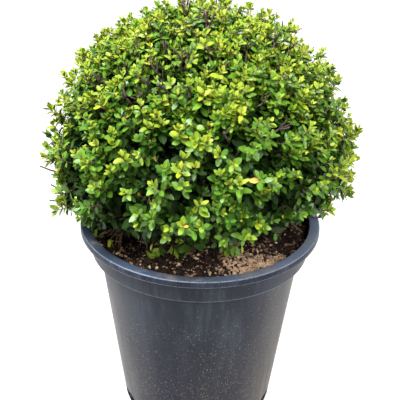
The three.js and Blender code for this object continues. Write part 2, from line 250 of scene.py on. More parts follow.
class Sheet:
    """The node tree of one material."""

    def __init__(self, name: str) -> None:
        """Starts a material with an empty tree.

        Args:
            name: The material's name.
        """
        self.material = bpy.data.materials.new(name)
        self.material.use_nodes = True
        self.tree = self.material.node_tree
        self.tree.nodes.clear()

    def node(
        self,
        kind: str,
        settings: Mapping[str, object] | None = None,
        sockets: Mapping[str | int, object] | None = None,
        output: str | int = 0,
    ) -> Value | None:
        """Adds one node.

        Args:
            kind: The node's type.
            settings: Its own properties, set first.
            sockets: Numbers, colours, vectors or links for its inputs, by name or place.
            output: Which output to hand back.

        Returns:
            The chosen output, or nothing where the node has none.
        """
        made = self.tree.nodes.new(kind)
        for name, setting in (settings or {}).items():
            setattr(made, name, setting)
        for name, given in (sockets or {}).items():
            if isinstance(given, Value):
                self.tree.links.new(given.socket, made.inputs[name])
            else:
                made.inputs[name].default_value = given
        return Value(self, made.outputs[output]) if made.outputs else None

    def place(self) -> Value:
        """Object coordinates, in metres."""
        return self.node("ShaderNodeTexCoord", output="Object")

    def axes(self, vector: Value) -> tuple[Value, Value, Value]:
        """The three parts of a vector."""
        first = self.node("ShaderNodeSeparateXYZ", sockets={"Vector": vector})
        return tuple(Value(self, socket) for socket in first.socket.node.outputs)

    def stretched(self, vector: Value, scale: Triple) -> Value:
        """Coordinates scaled along each axis."""
        return self.node("ShaderNodeVectorMath", {"operation": "MULTIPLY"}, {0: vector, 1: scale})

    def noise(self, vector: Value, scale: float, detail: float = 3.0, rough: float = 0.55) -> Value:
        """Cloudy noise from 0 to 1."""
        sockets = {"Vector": vector, "Scale": scale, "Detail": detail, "Roughness": rough}
        return self.node("ShaderNodeTexNoise", sockets=sockets, output="Fac")

    def cells(self, vector: Value, scale: float) -> tuple[Value, Value]:
        """Cells round scattered points.

        Args:
            vector: Coordinates.
            scale: How closely the points lie.

        Returns:
            Distance to the nearest point, and a chance value for each point.
        """
        sockets = {"Vector": vector, "Scale": scale}
        near = self.node("ShaderNodeTexVoronoi", sockets=sockets, output="Distance")
        return near, self.axes(Value(self, near.socket.node.outputs["Color"]))[0]

    def mix(self, share: "float | Value", low: "Colour | Value", high: "Colour | Value") -> Value:
        """Mix of two colours."""
        ends = [part if isinstance(part, Value) else (*part, 1.0) for part in (low, high)]
        return self.node("ShaderNodeMix", {"data_type": "RGBA"}, {0: share, 6: ends[0], 7: ends[1]}, output=2)

    def bump(self, height: Value, depth: float, strength: float = 1.0) -> Value:
        """A normal raised by a height from 0 to 1 over a depth in metres."""
        sockets = {"Height": height, "Distance": depth, "Strength": strength}
        return self.node("ShaderNodeBump", sockets=sockets)

    def surface(self, colour: "Colour | Value", rough: "float | Value", **more: object) -> bpy.types.Material:
        """Ends the tree with one principled surface.

        Args:
            colour: Its base colour.
            rough: Its roughness.
            more: Its other inputs by name, with a low line for each space.

        Returns:
            The material.
        """
        base = colour if isinstance(colour, Value) else (*colour, 1.0)
        sockets = {"Base Color": base, "Roughness": rough}
        sockets |= {name.replace("_", " "): given for name, given in more.items()}
        shader = self.node("ShaderNodeBsdfPrincipled", sockets=sockets)
        self.node("ShaderNodeOutputMaterial", sockets={"Surface": shader})
        return self.material


# Finishes


@dataclass(frozen=True)
class PotPlastic:
    """Dark moulded plastic, dull with handling, streaked and specked with dried compost, with painted light: a
    flange painted paler towards the right, painted highlight lines on its edges, dust with painted sheen down
    the right side, and a haze that fades towards the foot as painted shade.
    """

    plastic: Colour = (0.0016, 0.0058, 0.0200)
    # Flange top: paler blue-grey, partly dust and partly painted sky reflection; its pale tone towards the
    # right is painted light.
    flange: Colour = (0.036, 0.053, 0.086)
    flange_pale: Colour = (0.142, 0.184, 0.258)
    worn: Colour = (0.036, 0.047, 0.068)
    dust: Colour = (0.32, 0.25, 0.155)
    # Pale edge colour: rubbed wear, and painted highlight lines on the rims.
    edge: Colour = (0.26, 0.29, 0.34)
    dull: float = 0.38
    shine: float = 0.245
    dusty: float = 0.095
    dusty_dull: float = 0.3
    dusty_tint: Colour = (1.0, 0.90, 0.79)
    skew: Triple = (0.7, 0.4, 0.9)
    streak_run: Triple = (1.0, 1.0, 0.09)
    veil_run: Triple = (1.0, 1.0, 0.3)
    streak_scale: float = 120.0
    veil_scale: float = 20.0
    cloud_scale: float = 26.0
    scuff_scale: float = 420.0
    film_scale: float = 34.0
    speck_scale: float = 430.0
    grain_scale: float = 820.0
    relief: float = 0.00025

    def rims(self, radius: Value, z: Value, pot: "NurseryPot") -> Value:
        """Where the lip's edge, its foot and the collar's foot are rubbed pale and painted with highlight
        lines.

        Args:
            radius: Distance from the pot's axis, in metres.
            z: Height, in metres.
            pot: The pot.

        Returns:
            The share of wear and painted highlight.
        """
        lip = radius.near((pot.rim_radius - 1.0) * MM, 0.9 * MM)
        lip = lip * z.band((pot.height - 3.0) * MM, (pot.height - 0.6) * MM)
        under = z.near((pot.lip_foot + 0.7) * MM, 0.8 * MM)
        under = under * radius.band((pot.rim_radius - 1.5) * MM, (pot.rim_radius - 0.4) * MM)
        collar = z.near((pot.collar_foot + 0.9) * MM, 1.1 * MM)
        return lip * 0.8 + under * 0.7 + collar * 0.75

    def make(self, pot: "NurseryPot") -> bpy.types.Material:
        """Builds the finish.

        Args:
            pot: The pot, whose edges get the wear.

        Returns:
            The material.
        """
        sheet = Sheet("pot_plastic")
        place = sheet.place()
        x, y, z = sheet.axes(place)
        radius = (x * x + y * y) ** 0.5
        facing = x / radius
        streaks = sheet.noise(sheet.stretched(place, self.streak_run), self.streak_scale, 4.0, 0.62)
        veil = sheet.noise(sheet.stretched(place, self.veil_run), self.veil_scale, 4.0, 0.6)
        cloud = sheet.noise(place, self.cloud_scale, 4.0, 0.62)
        scuff = sheet.noise(place, self.scuff_scale, 2.0, 0.5)
        smear = streaks.band(0.38, 0.7) * veil.band(0.4, 0.62)
        low = z.band(pot.height * MM * 0.92, pot.height * MM * 0.12)
        right = facing.band(-0.8, 0.5)
        turned = {"Vector": place, "Rotation": self.skew}
        tilted = sheet.node("ShaderNodeVectorRotate", {"rotation_type": "EULER_XYZ"}, turned)
        near, chance = sheet.cells(tilted, self.speck_scale)
        likely = chance + low * 0.5 + cloud * 0.6 + veil * 0.7 + right * 0.16 - 1.78
        specks = near.band(0.33, 0.17) * likely.band(0.0, 0.1)
        near, chance = sheet.cells(tilted, self.grain_scale)
        likely = chance + low * 0.55 + streaks * 0.9 + right * 0.2 - 1.32
        grains = near.band(0.42, 0.2) * likely.band(0.0, 0.25)
        top = z.band((pot.height - 1.4) * MM, (pot.height - 0.4) * MM)
        film = top * sheet.noise(place, self.film_scale, 5.0, 0.65).band(0.48, 0.68)
        film = film * radius.band(pot.rim_radius * MM, (pot.rim_radius - 4.0) * MM)
        # Worn haze from smears and veils, faded towards the foot as painted shade.
        rubs_with_painted_shade = (smear * 0.7 + veil.band(0.42, 0.66) * 0.34) * (1.3 - low * 1.05)
        colour = sheet.mix(rubs_with_painted_shade, self.plastic, self.worn)
        # Beige dust on the right side of the body and low down: partly dust, partly painted sheen where that
        # side catches light.
        aside = facing.band(0.45, 1.0) * z.band(pot.collar_foot * MM, pot.neck * MM)
        dust_and_painted_sheen = aside * (0.02 + veil.band(0.32, 0.7) * 0.15) + right * low * 0.02
        colour = sheet.mix(dust_and_painted_sheen, colour, self.dust)
        # The flange's top is painted paler blue-grey, part dust and part painted sky reflection, and paler
        # still towards the right as painted light.
        flange = sheet.mix(facing.band(-0.15, 0.8), self.flange, self.flange_pale)
        colour = sheet.mix(top * (0.45 + veil * 0.9), colour, flange)
        # The rims' edges: pale rubbed wear with painted highlight lines.
        colour = sheet.mix(self.rims(radius, z, pot) * scuff.band(0.25, 0.6) * 0.8, colour, self.edge)
        colour = sheet.mix(specks * 0.95 + grains * 0.38, colour, self.dust)
        colour = sheet.mix(film * 0.38, colour, self.dust)
        dull = self.dull + smear * 0.16 + (specks + film) * 0.3 + (scuff - 0.5) * 0.16
        relief = sheet.bump(scuff * 0.5 + streaks * 0.3 + specks, self.relief, 0.5)
        return sheet.surface(
            colour, dull, Specular_IOR_Level=self.shine, Normal=relief, Sheen_Weight=self.dusty,
            Sheen_Roughness=self.dusty_dull, Sheen_Tint=(*self.dusty_tint, 1.0))


@dataclass(frozen=True)
class Crumbs:
    """Compost or bark of one tone, mottled, with a rough dull surface."""

    name: str
    dark: Colour
    light: Colour
    grain: float = 260.0
    dull: float = 0.88
    shine: float = 0.2
    patchy: float = 0.16
    relief: float = 0.0012

    def make(self) -> bpy.types.Material:
        """Builds the finish.

        Returns:
            The material.
        """
        sheet = Sheet(self.name)
        place = sheet.place()
        grain = sheet.noise(place, self.grain, 4.0, 0.6)
        patch = sheet.noise(place, self.grain * self.patchy, 2.0)
        colour = sheet.mix((grain * 0.65 + patch * 0.35).band(0.34, 0.68), self.dark, self.light)
        rough = self.dull + (grain - 0.5) * 0.15
        relief = sheet.bump(grain, self.relief, 0.7)
        return sheet.surface(colour, rough, Specular_IOR_Level=self.shine, Normal=relief)


@dataclass(frozen=True)
class Bark:
    """Thin brown bark with fine lengthwise cracks and grey patches."""

    name: str
    dark: Colour
    light: Colour
    grey: Colour
    along: Triple = (1.0, 1.0, 0.3)
    fibre: float = 520.0
    patch: float = 85.0
    dull: float = 0.72
    shine: float = 0.2
    relief: float = 0.0006

    def make(self) -> bpy.types.Material:
        """Builds the finish.

        Returns:
            The material.
        """
        sheet = Sheet(self.name)
        place = sheet.place()
        fibre = sheet.noise(sheet.stretched(place, self.along), self.fibre, 4.0, 0.6)
        patch = sheet.noise(place, self.patch, 3.0)
        colour = sheet.mix(fibre.band(0.35, 0.66), self.dark, self.light)
        colour = sheet.mix(patch.band(0.55, 0.75) * 0.7, colour, self.grey)
        rough = self.dull + (fibre - 0.5) * 0.3
        relief = sheet.bump(fibre, self.relief, 0.6)
        return sheet.surface(colour, rough, Specular_IOR_Level=self.shine, Normal=relief)


@dataclass(frozen=True)
class LeafSkin:
    """A leaf's skin: two near tones dealt out leaf by leaf, a pale midrib and a soft gloss."""

    name: str
    deep: Colour
    bright: Colour
    rib: Colour
    gloss: float
    shine: float
    mottle: float = 160.0

    def make(self) -> bpy.types.Material:
        """Builds the finish.

        Returns:
            The material.
        """
        sheet = Sheet(self.name)
        tone = sheet.node("ShaderNodeAttribute", {"attribute_name": TONE}, output="Fac")
        across, along, _ = sheet.axes(sheet.node("ShaderNodeUVMap", {"uv_map": FLAT}))
        mottle = sheet.noise(sheet.place(), self.mottle, 2.0)
        rib = abs(across - 0.5).band(0.12, 0.02) * along.band(1.0, 0.3)
        colour = sheet.mix((tone + (mottle - 0.5) * 0.35).band(0.0, 1.0), self.deep, self.bright)
        colour = sheet.mix(rib * 0.4, colour, self.rib)
        rough = self.gloss + (mottle - 0.5) * 0.2
        return sheet.surface(colour, rough, Specular_IOR_Level=self.shine)


@dataclass(frozen=True)
class FloorPaint:
    """Plain pale floor."""

    pale: Colour = (0.12, 0.12, 0.12)
    warm: Colour = (1.02, 1.0, 0.985)
    glow: float = 1.02
    dull: float = 0.9

    def make(self) -> bpy.types.Material:
        """Builds the finish."""
        glow = {"Emission_Color": (*self.warm, 1.0), "Emission_Strength": self.glow}
        return Sheet("pale_floor").surface(self.pale, self.dull, **glow)


# Making pieces


def bare_selection() -> None:
    """Leaves edit mode and deselects every object."""
    if bpy.context.object and bpy.context.object.mode != "OBJECT":
        bpy.ops.object.mode_set(mode="OBJECT")
    bpy.ops.object.select_all(action="DESELECT")


def named(name: str) -> bpy.types.Object:
    """Gives the active object and its data one name.

    Args:
        name: The name.

    Returns:
        The object.
    """
    made = bpy.context.object
    made.name = name
    made.data.name = name
    return made


def only(piece: bpy.types.Object) -> None:
    """Makes one object the only one selected, and the active one.

    Args:
        piece: The object.
    """
    bare_selection()
    piece.select_set(True)
    bpy.context.view_layer.objects.active = piece


def edit(kind: str = "VERT", action: str = "SELECT") -> None:
    """Puts the active object in edit mode.

    Args:
        kind: What is picked there: points or edges.
        action: Whether all of them start selected or none.
    """
    bpy.ops.object.mode_set(mode="EDIT")
    bpy.ops.mesh.select_mode(type=kind)
    bpy.ops.mesh.select_all(action=action)


def face_outward() -> None:
    """Turns all faces of the edited object outward and leaves edit mode."""
    bpy.ops.mesh.select_all(action="SELECT")
    bpy.ops.mesh.normals_make_consistent(inside=False)
    bpy.ops.object.mode_set(mode="OBJECT")


def apply_modifier(piece: bpy.types.Object, kind: str, settings: Mapping[str, object]) -> None:
    """Adds one modifier and applies it.

    Args:
        piece: The object.
        kind: The modifier's type.
        settings: Its properties.
    """
    only(piece)
    modifier = piece.modifiers.new(kind.lower(), kind)
    for name, setting in settings.items():
        setattr(modifier, name, setting)
    bpy.ops.object.modifier_apply(modifier=modifier.name)


def displace(
    piece: bpy.types.Object, kind: str, pattern: Mapping[str, object], depth: float, **settings: object
) -> None:
    """Pushes a piece's surface in and out by a texture.

    Args:
        piece: The object.
        kind: The texture's type.
        pattern: The texture's properties.
        depth: How far it pushes from hollow to ridge.
        settings: Other properties of the modifier.
    """
    texture = bpy.data.textures.new(f"{piece.name}_relief", kind)
    for name, setting in pattern.items():
        setattr(texture, name, setting)
    settings |= {"texture": texture, "strength": depth * MM, "mid_level": 0.5}
    apply_modifier(piece, "DISPLACE", settings)


def settle(piece: bpy.types.Object, finish: bpy.types.Material, nodes: Iterable[str]) -> None:
    """Hands a finished piece over to the frame.

    Args:
        piece: The finished object.
        finish: Its material.
        nodes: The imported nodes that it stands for.
    """
    piece.data.materials.clear()
    piece.data.materials.append(finish)
    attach(piece, BODY)
    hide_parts(*nodes)
    LOG.info("%s: %d faces", piece.name, len(piece.data.polygons))


def turned_by_rings(name: str, stations: Sequence[Pair], segments: int) -> bpy.types.Object:
    """Models a round piece ring by ring: a circle, extruded and resized from station to station.

    Args:
        name: The piece's name.
        stations: Radius and height of each ring, from one pole to the other.
        segments: Corners of a ring.

    Returns:
        The closed piece.
    """
    bare_selection()
    radius, height = stations[0]
    bpy.ops.mesh.primitive_circle_add(vertices=segments, radius=radius * MM, location=(0, 0, height * MM))
    piece = named(name)
    bpy.ops.object.transform_apply(location=True, rotation=True, scale=True)
    edit("EDGE")
    for wide, high in stations[1:]:
        bpy.ops.mesh.extrude_edges_move(TRANSFORM_OT_translate={"value": (0, 0, (high - height) * MM)})
        share = wide / radius
        bpy.ops.transform.resize(value=(share, share, 1), center_override=(0, 0, high * MM))
        radius, height = wide, high
    bpy.ops.mesh.edge_face_add()
    edit("VERT", "DESELECT")
    shell = bmesh.from_edit_mesh(piece.data)
    shell.verts.ensure_lookup_table()
    for index in range(segments):
        shell.verts[index].select_set(True)
    bmesh.update_edit_mesh(piece.data)
    bpy.ops.mesh.edge_face_add()
    face_outward()
    return piece


def rounded(corners: Sequence[Triple], steps: int = 4) -> list[Pair]:
    """A profile whose corners are eased.

    Args:
        corners: Radius, height and the length that the easing takes of both sides.
        steps: Points on each eased corner.

    Returns:
        The profile's points.
    """
    flat = np.array([corner[:2] for corner in corners])
    profile = []
    for index, (radius, height, take) in enumerate(corners):
        here = flat[index]
        if take == 0:
            profile.append((radius, height))
            continue
        before, after = (here + unit(flat[index + step] - here) * take for step in (-1, 1))
        profile.extend(tuple(point) for point in Arc(before[None], here[None], after[None]).points(steps)[0])
    return profile


def mesh_piece(
    name: str,
    points: np.ndarray,
    corners: np.ndarray,
    sizes: np.ndarray,
    flat: np.ndarray | None = None,
    tone: np.ndarray | None = None,
) -> bpy.types.Object:
    """One joined mesh from arrays, for things that repeat in their thousands.

    Args:
        name: The piece's name.
        points: Places in millimetres.
        corners: Point numbers of all faces, one after another.
        sizes: Corners of each face.
        flat: Flat places of all corners, for a pattern that follows each leaf.
        tone: A chance value for each point.

    Returns:
        The piece, with smooth faces.
    """
    mesh = bpy.data.meshes.new(name)
    mesh.vertices.add(len(points))
    mesh.vertices.foreach_set("co", (points * MM).astype(np.float32).ravel())
    mesh.loops.add(len(corners))
    mesh.loops.foreach_set("vertex_index", corners.astype(np.int32))
    mesh.polygons.add(len(sizes))
    mesh.polygons.foreach_set("loop_start", (np.cumsum(sizes) - sizes).astype(np.int32))
    mesh.polygons.foreach_set("use_smooth", np.ones(len(sizes), dtype=bool))
    if flat is not None:
        mesh.uv_layers.new(name=FLAT).data.foreach_set("uv", flat.astype(np.float32).ravel())
    if tone is not None:
        mesh.attributes.new(TONE, "FLOAT", "POINT").data.foreach_set("value", tone.astype(np.float32))
    mesh.update(calc_edges=True)
    mesh.validate()
    piece = bpy.data.objects.new(name, mesh)
    bpy.context.scene.collection.objects.link(piece)
    return piece


def repeated(shape: Sequence[Sequence[int]], count: int, stride: int) -> tuple[np.ndarray, np.ndarray]:
    """Corner and size lists for many copies of one shape.

    Args:
        shape: The faces of one copy.
        count: Number of copies.
        stride: Points of one copy.

    Returns:
        Point numbers of all faces, and the corners of each face.
    """
    one = np.concatenate([np.array(face) for face in shape])
    corners = (one[None, :] + stride * np.arange(count)[:, None]).ravel()
    return corners, np.tile(np.array([len(face) for face in shape]), count)


def tubes(lines: np.ndarray, radii: np.ndarray, sides: int) -> Arrays:
    """Closed tapering tubes along lines of points.

    Args:
        lines: Tubes by points by axes.
        radii: Tubes by points.
        sides: Corners of each ring.

    Returns:
        Points, point numbers of all faces, and the corners of each face.
    """
    count, rings, _ = lines.shape
    run = unit(np.gradient(lines, axis=1))
    side, other = sides_of(run, run[:, :1])
    turn = 2 * np.pi * np.arange(sides) / sides
    ring = side[:, :, None] * np.cos(turn)[:, None] + other[:, :, None] * np.sin(turn)[:, None]
    points = lines[:, :, None] + ring * radii[:, :, None, None]
    shape = [
        (base + k, base + (k + 1) % sides, base + sides + (k + 1) % sides, base + sides + k)
        for base in range(0, (rings - 1) * sides, sides)
        for k in range(sides)
    ]
    shape.append(tuple(range(sides))[::-1])
    shape.append(tuple(range((rings - 1) * sides, rings * sides)))
    return points.reshape(-1, 3), *repeated(shape, count, rings * sides)


def joined(parts: Iterable[Arrays]) -> Arrays:
    """Several sets of points and faces as one.

    Args:
        parts: Points, point numbers of faces and corners of each face, set by set.

    Returns:
        The same three for all sets.
    """
    points, corners, sizes, start = [], [], [], 0
    for part_points, part_corners, part_sizes in parts:
        points.append(part_points)
        corners.append(part_corners + start)
        sizes.append(part_sizes)
        start += len(part_points)
    return np.concatenate(points), np.concatenate(corners), np.concatenate(sizes)


# The pot


@dataclass
class NurseryPot:
    """A tapering body, a step out to an upright collar, and a flat flange with a rounded lip."""

    height: float = 245.0
    rim_radius: float = 140.0
    flange_width: float = 12.0
    lip_height: float = 8.0
    collar_height: float = 34.0
    collar_top_radius: float = 130.5
    collar_foot_radius: float = 127.5
    step_height: float = 2.0
    neck_radius: float = 118.0
    foot_radius: float = 89.0
    foot_corner: float = 7.0
    wall: float = 2.4
    floor: float = 3.2
    pole: float = 3.0
    segments: int = 144
    slots: int = 8
    slot_size: Triple = (26.0, 28.0, 15.4)
    slot_sill: float = 3.6
    slot_round: float = 7.0
    slot_steps: int = 5
    slot_long: float = 0.9
    slot_inward: float = 14.0
    first_turn: float = math.radians(-21.0)
    smooth_below: float = math.radians(32)

    @property
    def lip_foot(self) -> float:
        """Height of the lip's lower edge."""
        return self.height - self.lip_height

    @property
    def collar_foot(self) -> float:
        """Height of the collar's lower edge."""
        return self.height - self.collar_height

    @property
    def neck(self) -> float:
        """Height of the body's top, under the step."""
        return self.collar_foot - self.step_height

    def body_radius(self, height: float) -> float:
        """Outer radius of the tapering body."""
        return float(blend(self.foot_radius, self.neck_radius, height / self.neck))

    def profile(self) -> list[Pair]:
        """Half section from the underside's middle, up the outside, over the rim and down the inside.

        Returns:
            Radius and height of each point, with the corners eased.
        """
        inner = self.rim_radius - self.flange_width
        return rounded([
            (self.pole, 0.0, 0.0),
            (self.foot_radius, 0.0, self.foot_corner),
            (self.neck_radius, self.neck, 1.4),
            (self.collar_foot_radius, self.collar_foot, 1.3),
            (self.collar_top_radius, self.lip_foot, 0.9),
            (self.rim_radius, self.lip_foot, 1.0),
            (self.rim_radius, self.height, 2.5),
            (inner, self.height, 1.2),
            (self.collar_top_radius - self.wall, self.lip_foot, 0.0),
            (self.collar_foot_radius - self.wall, self.collar_foot + self.wall, 1.2),
            (self.neck_radius - self.wall, self.neck, 1.2),
            (self.body_radius(self.foot_corner) - self.wall, self.foot_corner, 0.0),
            (self.foot_radius - self.foot_corner, self.floor, 0.0),
            (self.pole, self.floor, 0.0),
        ])

    def slot_cutter(self, index: int) -> bpy.types.Object:
        """A block with rounded long edges that cuts one drain slot.

        Args:
            index: The slot's number round the foot.

        Returns:
            The block.
        """
        length, width, tall = (size * MM for size in self.slot_size)
        turn = self.first_turn + 2 * math.pi * index / self.slots
        out = np.array((math.cos(turn), math.sin(turn), 0.0))
        away = (self.foot_radius - self.slot_inward) * MM + length / 2
        place = away * out + UP * (self.slot_sill * MM + tall / 2)
        bare_selection()
        bpy.ops.mesh.primitive_cube_add(
            size=1, location=place, rotation=(0, 0, turn), scale=(length, width, tall))
        cutter = named(f"slot_cutter_{index}")
        bpy.ops.object.transform_apply(location=True, rotation=True, scale=True)
        edit("EDGE", "DESELECT")
        for edge in bmesh.from_edit_mesh(cutter.data).edges:
            run = unit(np.array(edge.verts[1].co - edge.verts[0].co))
            edge.select_set(bool(abs(run @ out) > self.slot_long))
        bmesh.update_edit_mesh(cutter.data)
        bpy.ops.mesh.bevel(offset=self.slot_round * MM, segments=self.slot_steps, affect="EDGES")
        bpy.ops.object.mode_set(mode="OBJECT")
        return cutter

    def build(self) -> None:
        """Models the pot, cuts its drain slots and dresses it."""
        pot = turned_by_rings("pot_shell", self.profile(), self.segments)
        cutters = [self.slot_cutter(index) for index in range(self.slots)]
        only(cutters[0])
        for cutter in cutters:
            cutter.select_set(True)
        bpy.ops.object.join()
        apply_modifier(pot, "BOOLEAN", {"operation": "DIFFERENCE", "solver": "EXACT", "object": cutters[0]})
        bpy.data.objects.remove(cutters[0])
        only(pot)
        bpy.ops.object.shade_smooth_by_angle(angle=self.smooth_below)
        settle(pot, PotPlastic().make(self), ["pot"])


# The compost


@dataclass
class ChipKind:
    """One kind of crumb or chip on the compost."""

    name: str
    finish: Crumbs
    count: int
    size: Pair
    flat: Pair
    patch: bool = False


@dataclass
class Compost:
    """The compost plug, uneven on top, with crumbs, bark chips and a patch of pale peat strewn over it."""

    pot: NurseryPot
    below_rim: float = 15.0
    lump: float = 2.6
    lump_turn: float = 0.065
    flat_radius: float = 32.0
    even_out: float = 20.0
    gap: float = 0.6
    seat: float = 0.3
    edge_gap: float = 1.4
    ring_step: float = 2.6
    relief: Sequence[Pair] = ((9.0, 3.6), (3.2, 2.2))
    relief_detail: int = 3
    relief_fade: float = 12.0
    smooth_below: float = math.radians(50)
    strewn_from: float = 40.0
    patch_middle: Pair = (72.0, -86.0)
    patch_reach: Pair = (44.0, 28.0)
    patch_spread: float = 0.5
    mostly_small: float = 2.2
    chip_clear: float = 0.6
    chip_width: Pair = (0.4, 0.9)
    chip_corner: Pair = (0.55, 1.2)
    chip_rough: float = 0.06
    chip_tilt: float = 0.42
    chip_rise: Pair = (-0.2, 1.6)
    seed: int = 7
    bed: Crumbs = Crumbs("compost", (0.004, 0.0026, 0.002), (0.040, 0.025, 0.018), 240.0)
    kinds: Sequence[ChipKind] = field(default_factory=lambda: (
        ChipKind("compost_crumbs", Crumbs("compost_crumb", (0.006, 0.0036, 0.0027), (0.060, 0.036, 0.025)),
                 3800, (1.8, 5.6), (0.5, 0.9)),
        ChipKind("bark_chips", Crumbs("bark_chip", (0.15, 0.078, 0.043), (0.50, 0.300, 0.175), 200.0),
                 700, (2.0, 5.9), (0.3, 0.65)),
        ChipKind("wood_chips", Crumbs("wood_chip", (0.50, 0.315, 0.180), (0.88, 0.68, 0.46), 200.0, 0.75),
                 560, (1.7, 4.6), (0.3, 0.6)),
        ChipKind("peat_crumbs", Crumbs("peat_crumb", (0.15, 0.082, 0.046), (0.84, 0.58, 0.385), 420.0),
                 1900, (1.8, 6.4), (0.4, 0.8), True),
    ))

    BLOCK = ((0, 2, 3, 1), (4, 5, 7, 6), (0, 1, 5, 4), (2, 6, 7, 3), (0, 4, 6, 2), (1, 3, 7, 5))

    @property
    def level(self) -> float:
        """Height of the compost's surface."""
        return self.pot.height - self.below_rim

    @property
    def edge(self) -> float:
        """Radius of the compost's surface."""
        return self.pot.collar_top_radius - self.pot.wall - self.edge_gap

    def lumps(self, x: np.ndarray, y: np.ndarray) -> np.ndarray:
        """Height of the uneven top over its level, even round the stem.

        Args:
            x: Places to the right of the pot's axis.
            y: Places behind it.

        Returns:
            The height at each place.
        """
        broad = np.sin(self.lump_turn * x + 1) * np.cos(self.lump_turn * y)
        fine = np.sin(2 * self.lump_turn * (x - y)) / 2
        away = ease(np.hypot(x, y), self.flat_radius, self.flat_radius + self.even_out)
        return self.lump * (broad + fine) * away

    def plug(self) -> None:
        """Makes the plug that fills the pot, ring by ring, and moves its top up and down."""
        pot, inset = self.pot, self.pot.wall + self.gap
        stations = [
            (pot.pole, pot.floor + self.seat),
            (pot.foot_radius - pot.foot_corner - inset, pot.floor + self.seat),
            (pot.body_radius(pot.foot_corner) - inset, pot.foot_corner),
            (pot.neck_radius - inset, pot.neck),
            (pot.collar_foot_radius - inset, pot.collar_foot + pot.wall + self.seat),
        ]
        rings = np.arange(self.edge, pot.pole, -self.ring_step)
        stations.extend((float(radius), self.level) for radius in rings)
        piece = turned_by_rings("compost_bed", stations, pot.segments)
        top = piece.vertex_groups.new(name="top")
        for vertex in piece.data.vertices:
            x, y, z = (part / MM for part in vertex.co)
            if z > self.level - self.seat:
                vertex.co.z += float(self.lumps(np.array(x), np.array(y))) * MM
                share = ease(math.hypot(x, y), self.flat_radius, self.flat_radius + self.relief_fade)
                top.add([vertex.index], float(share), "ADD")
        for scale, depth in self.relief:
            clouds = {"noise_scale": scale * MM, "noise_depth": self.relief_detail}
            displace(piece, "CLOUDS", clouds, depth, direction="Z", vertex_group="top")
        only(piece)
        bpy.ops.object.shade_smooth_by_angle(angle=self.smooth_below)
        settle(piece, self.bed.make(), ["soil"])

    def places(self, kind: ChipKind, chance: np.random.Generator) -> tuple[np.ndarray, np.ndarray]:
        """Where the chips of one kind fall.

        Args:
            kind: What is strewn.
            chance: Source of chance values.

        Returns:
            Their places along X and along Y.
        """
        if kind.patch:
            spread = chance.normal(0, self.patch_spread, (kind.count, 2)) * np.array(self.patch_reach)
            return tuple((spread + np.array(self.patch_middle)).T)
        radius = np.sqrt(chance.uniform(self.strewn_from**2, self.edge**2, kind.count))
        turn = chance.uniform(0, 2 * np.pi, kind.count)
        return radius * np.cos(turn), radius * np.sin(turn)

    def strew(self, kind: ChipKind, chance: np.random.Generator) -> None:
        """Strews one kind of crumb or chip over the surface as one piece.

        Args:
            kind: What to strew.
            chance: Source of chance values.
        """
        x, y = self.places(kind, chance)
        size = blend(*kind.size, chance.random(kind.count) ** self.mostly_small)
        keep = np.hypot(x, y) + size * self.chip_clear < self.edge
        x, y, size = x[keep], y[keep], size[keep]
        count = len(x)
        corner = np.array([(i, j, k) for k in (-1, 1) for j in (-1, 1) for i in (-1, 1)], dtype=float)
        wide, flat = chance.uniform(*self.chip_width, count), chance.uniform(*kind.flat, count)
        local = corner * np.stack((np.ones(count), wide, flat), axis=-1)[:, None] * (size / 2)[:, None, None]
        local *= chance.uniform(*self.chip_corner, (count, len(corner), 1))
        local += chance.normal(0, self.chip_rough, local.shape) * size[:, None, None]
        normal = unit(UP + chance.normal(0, self.chip_tilt, (count, 3)))
        along = unit(np.cross(normal, chance.normal(0, 1, (count, 3))))
        across = np.cross(normal, along)
        turned = local[..., :1] * along[:, None] + local[..., 1:2] * across[:, None]
        turned += local[..., 2:] * normal[:, None]
        height = self.level + self.lumps(x, y) + chance.uniform(*self.chip_rise, count)
        points = np.stack((x, y, height), axis=-1)[:, None] + turned
        piece = mesh_piece(kind.name, points.reshape(-1, 3), *repeated(self.BLOCK, count, len(corner)))
        only(piece)
        bpy.ops.object.shade_flat()
        settle(piece, kind.finish.make(), ["soil"])

    def build(self) -> None:
        """Makes the plug and strews its surface."""
        self.plug()
        chance = np.random.default_rng(self.seed)
        for kind in self.kinds:
            self.strew(kind, chance)


# The crown's growth rule


@dataclass
class Tier:
    """A ring of foliage masses round the crown, each on a bough of its own."""

    name: str
    count: int
    polar: float
    first_turn: float
    root_share: float
    root_radius: float

    def masses(self) -> list[str]:
        """Names of the tier's masses."""
        return [f"{self.name}_{index + 1}" for index in range(self.count)] if self.count > 1 else [self.name]

    def nodes(self) -> list[str]:
        """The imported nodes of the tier's masses."""
        return [f"foliage_{name}" for name in self.masses()]

    def directions(self) -> np.ndarray:
        """Directions of the tier's masses from the crown's middle."""
        turn = math.radians(self.first_turn) + 2 * np.pi * np.arange(self.count) / self.count
        return direction_of(np.full(self.count, math.radians(self.polar)), turn)


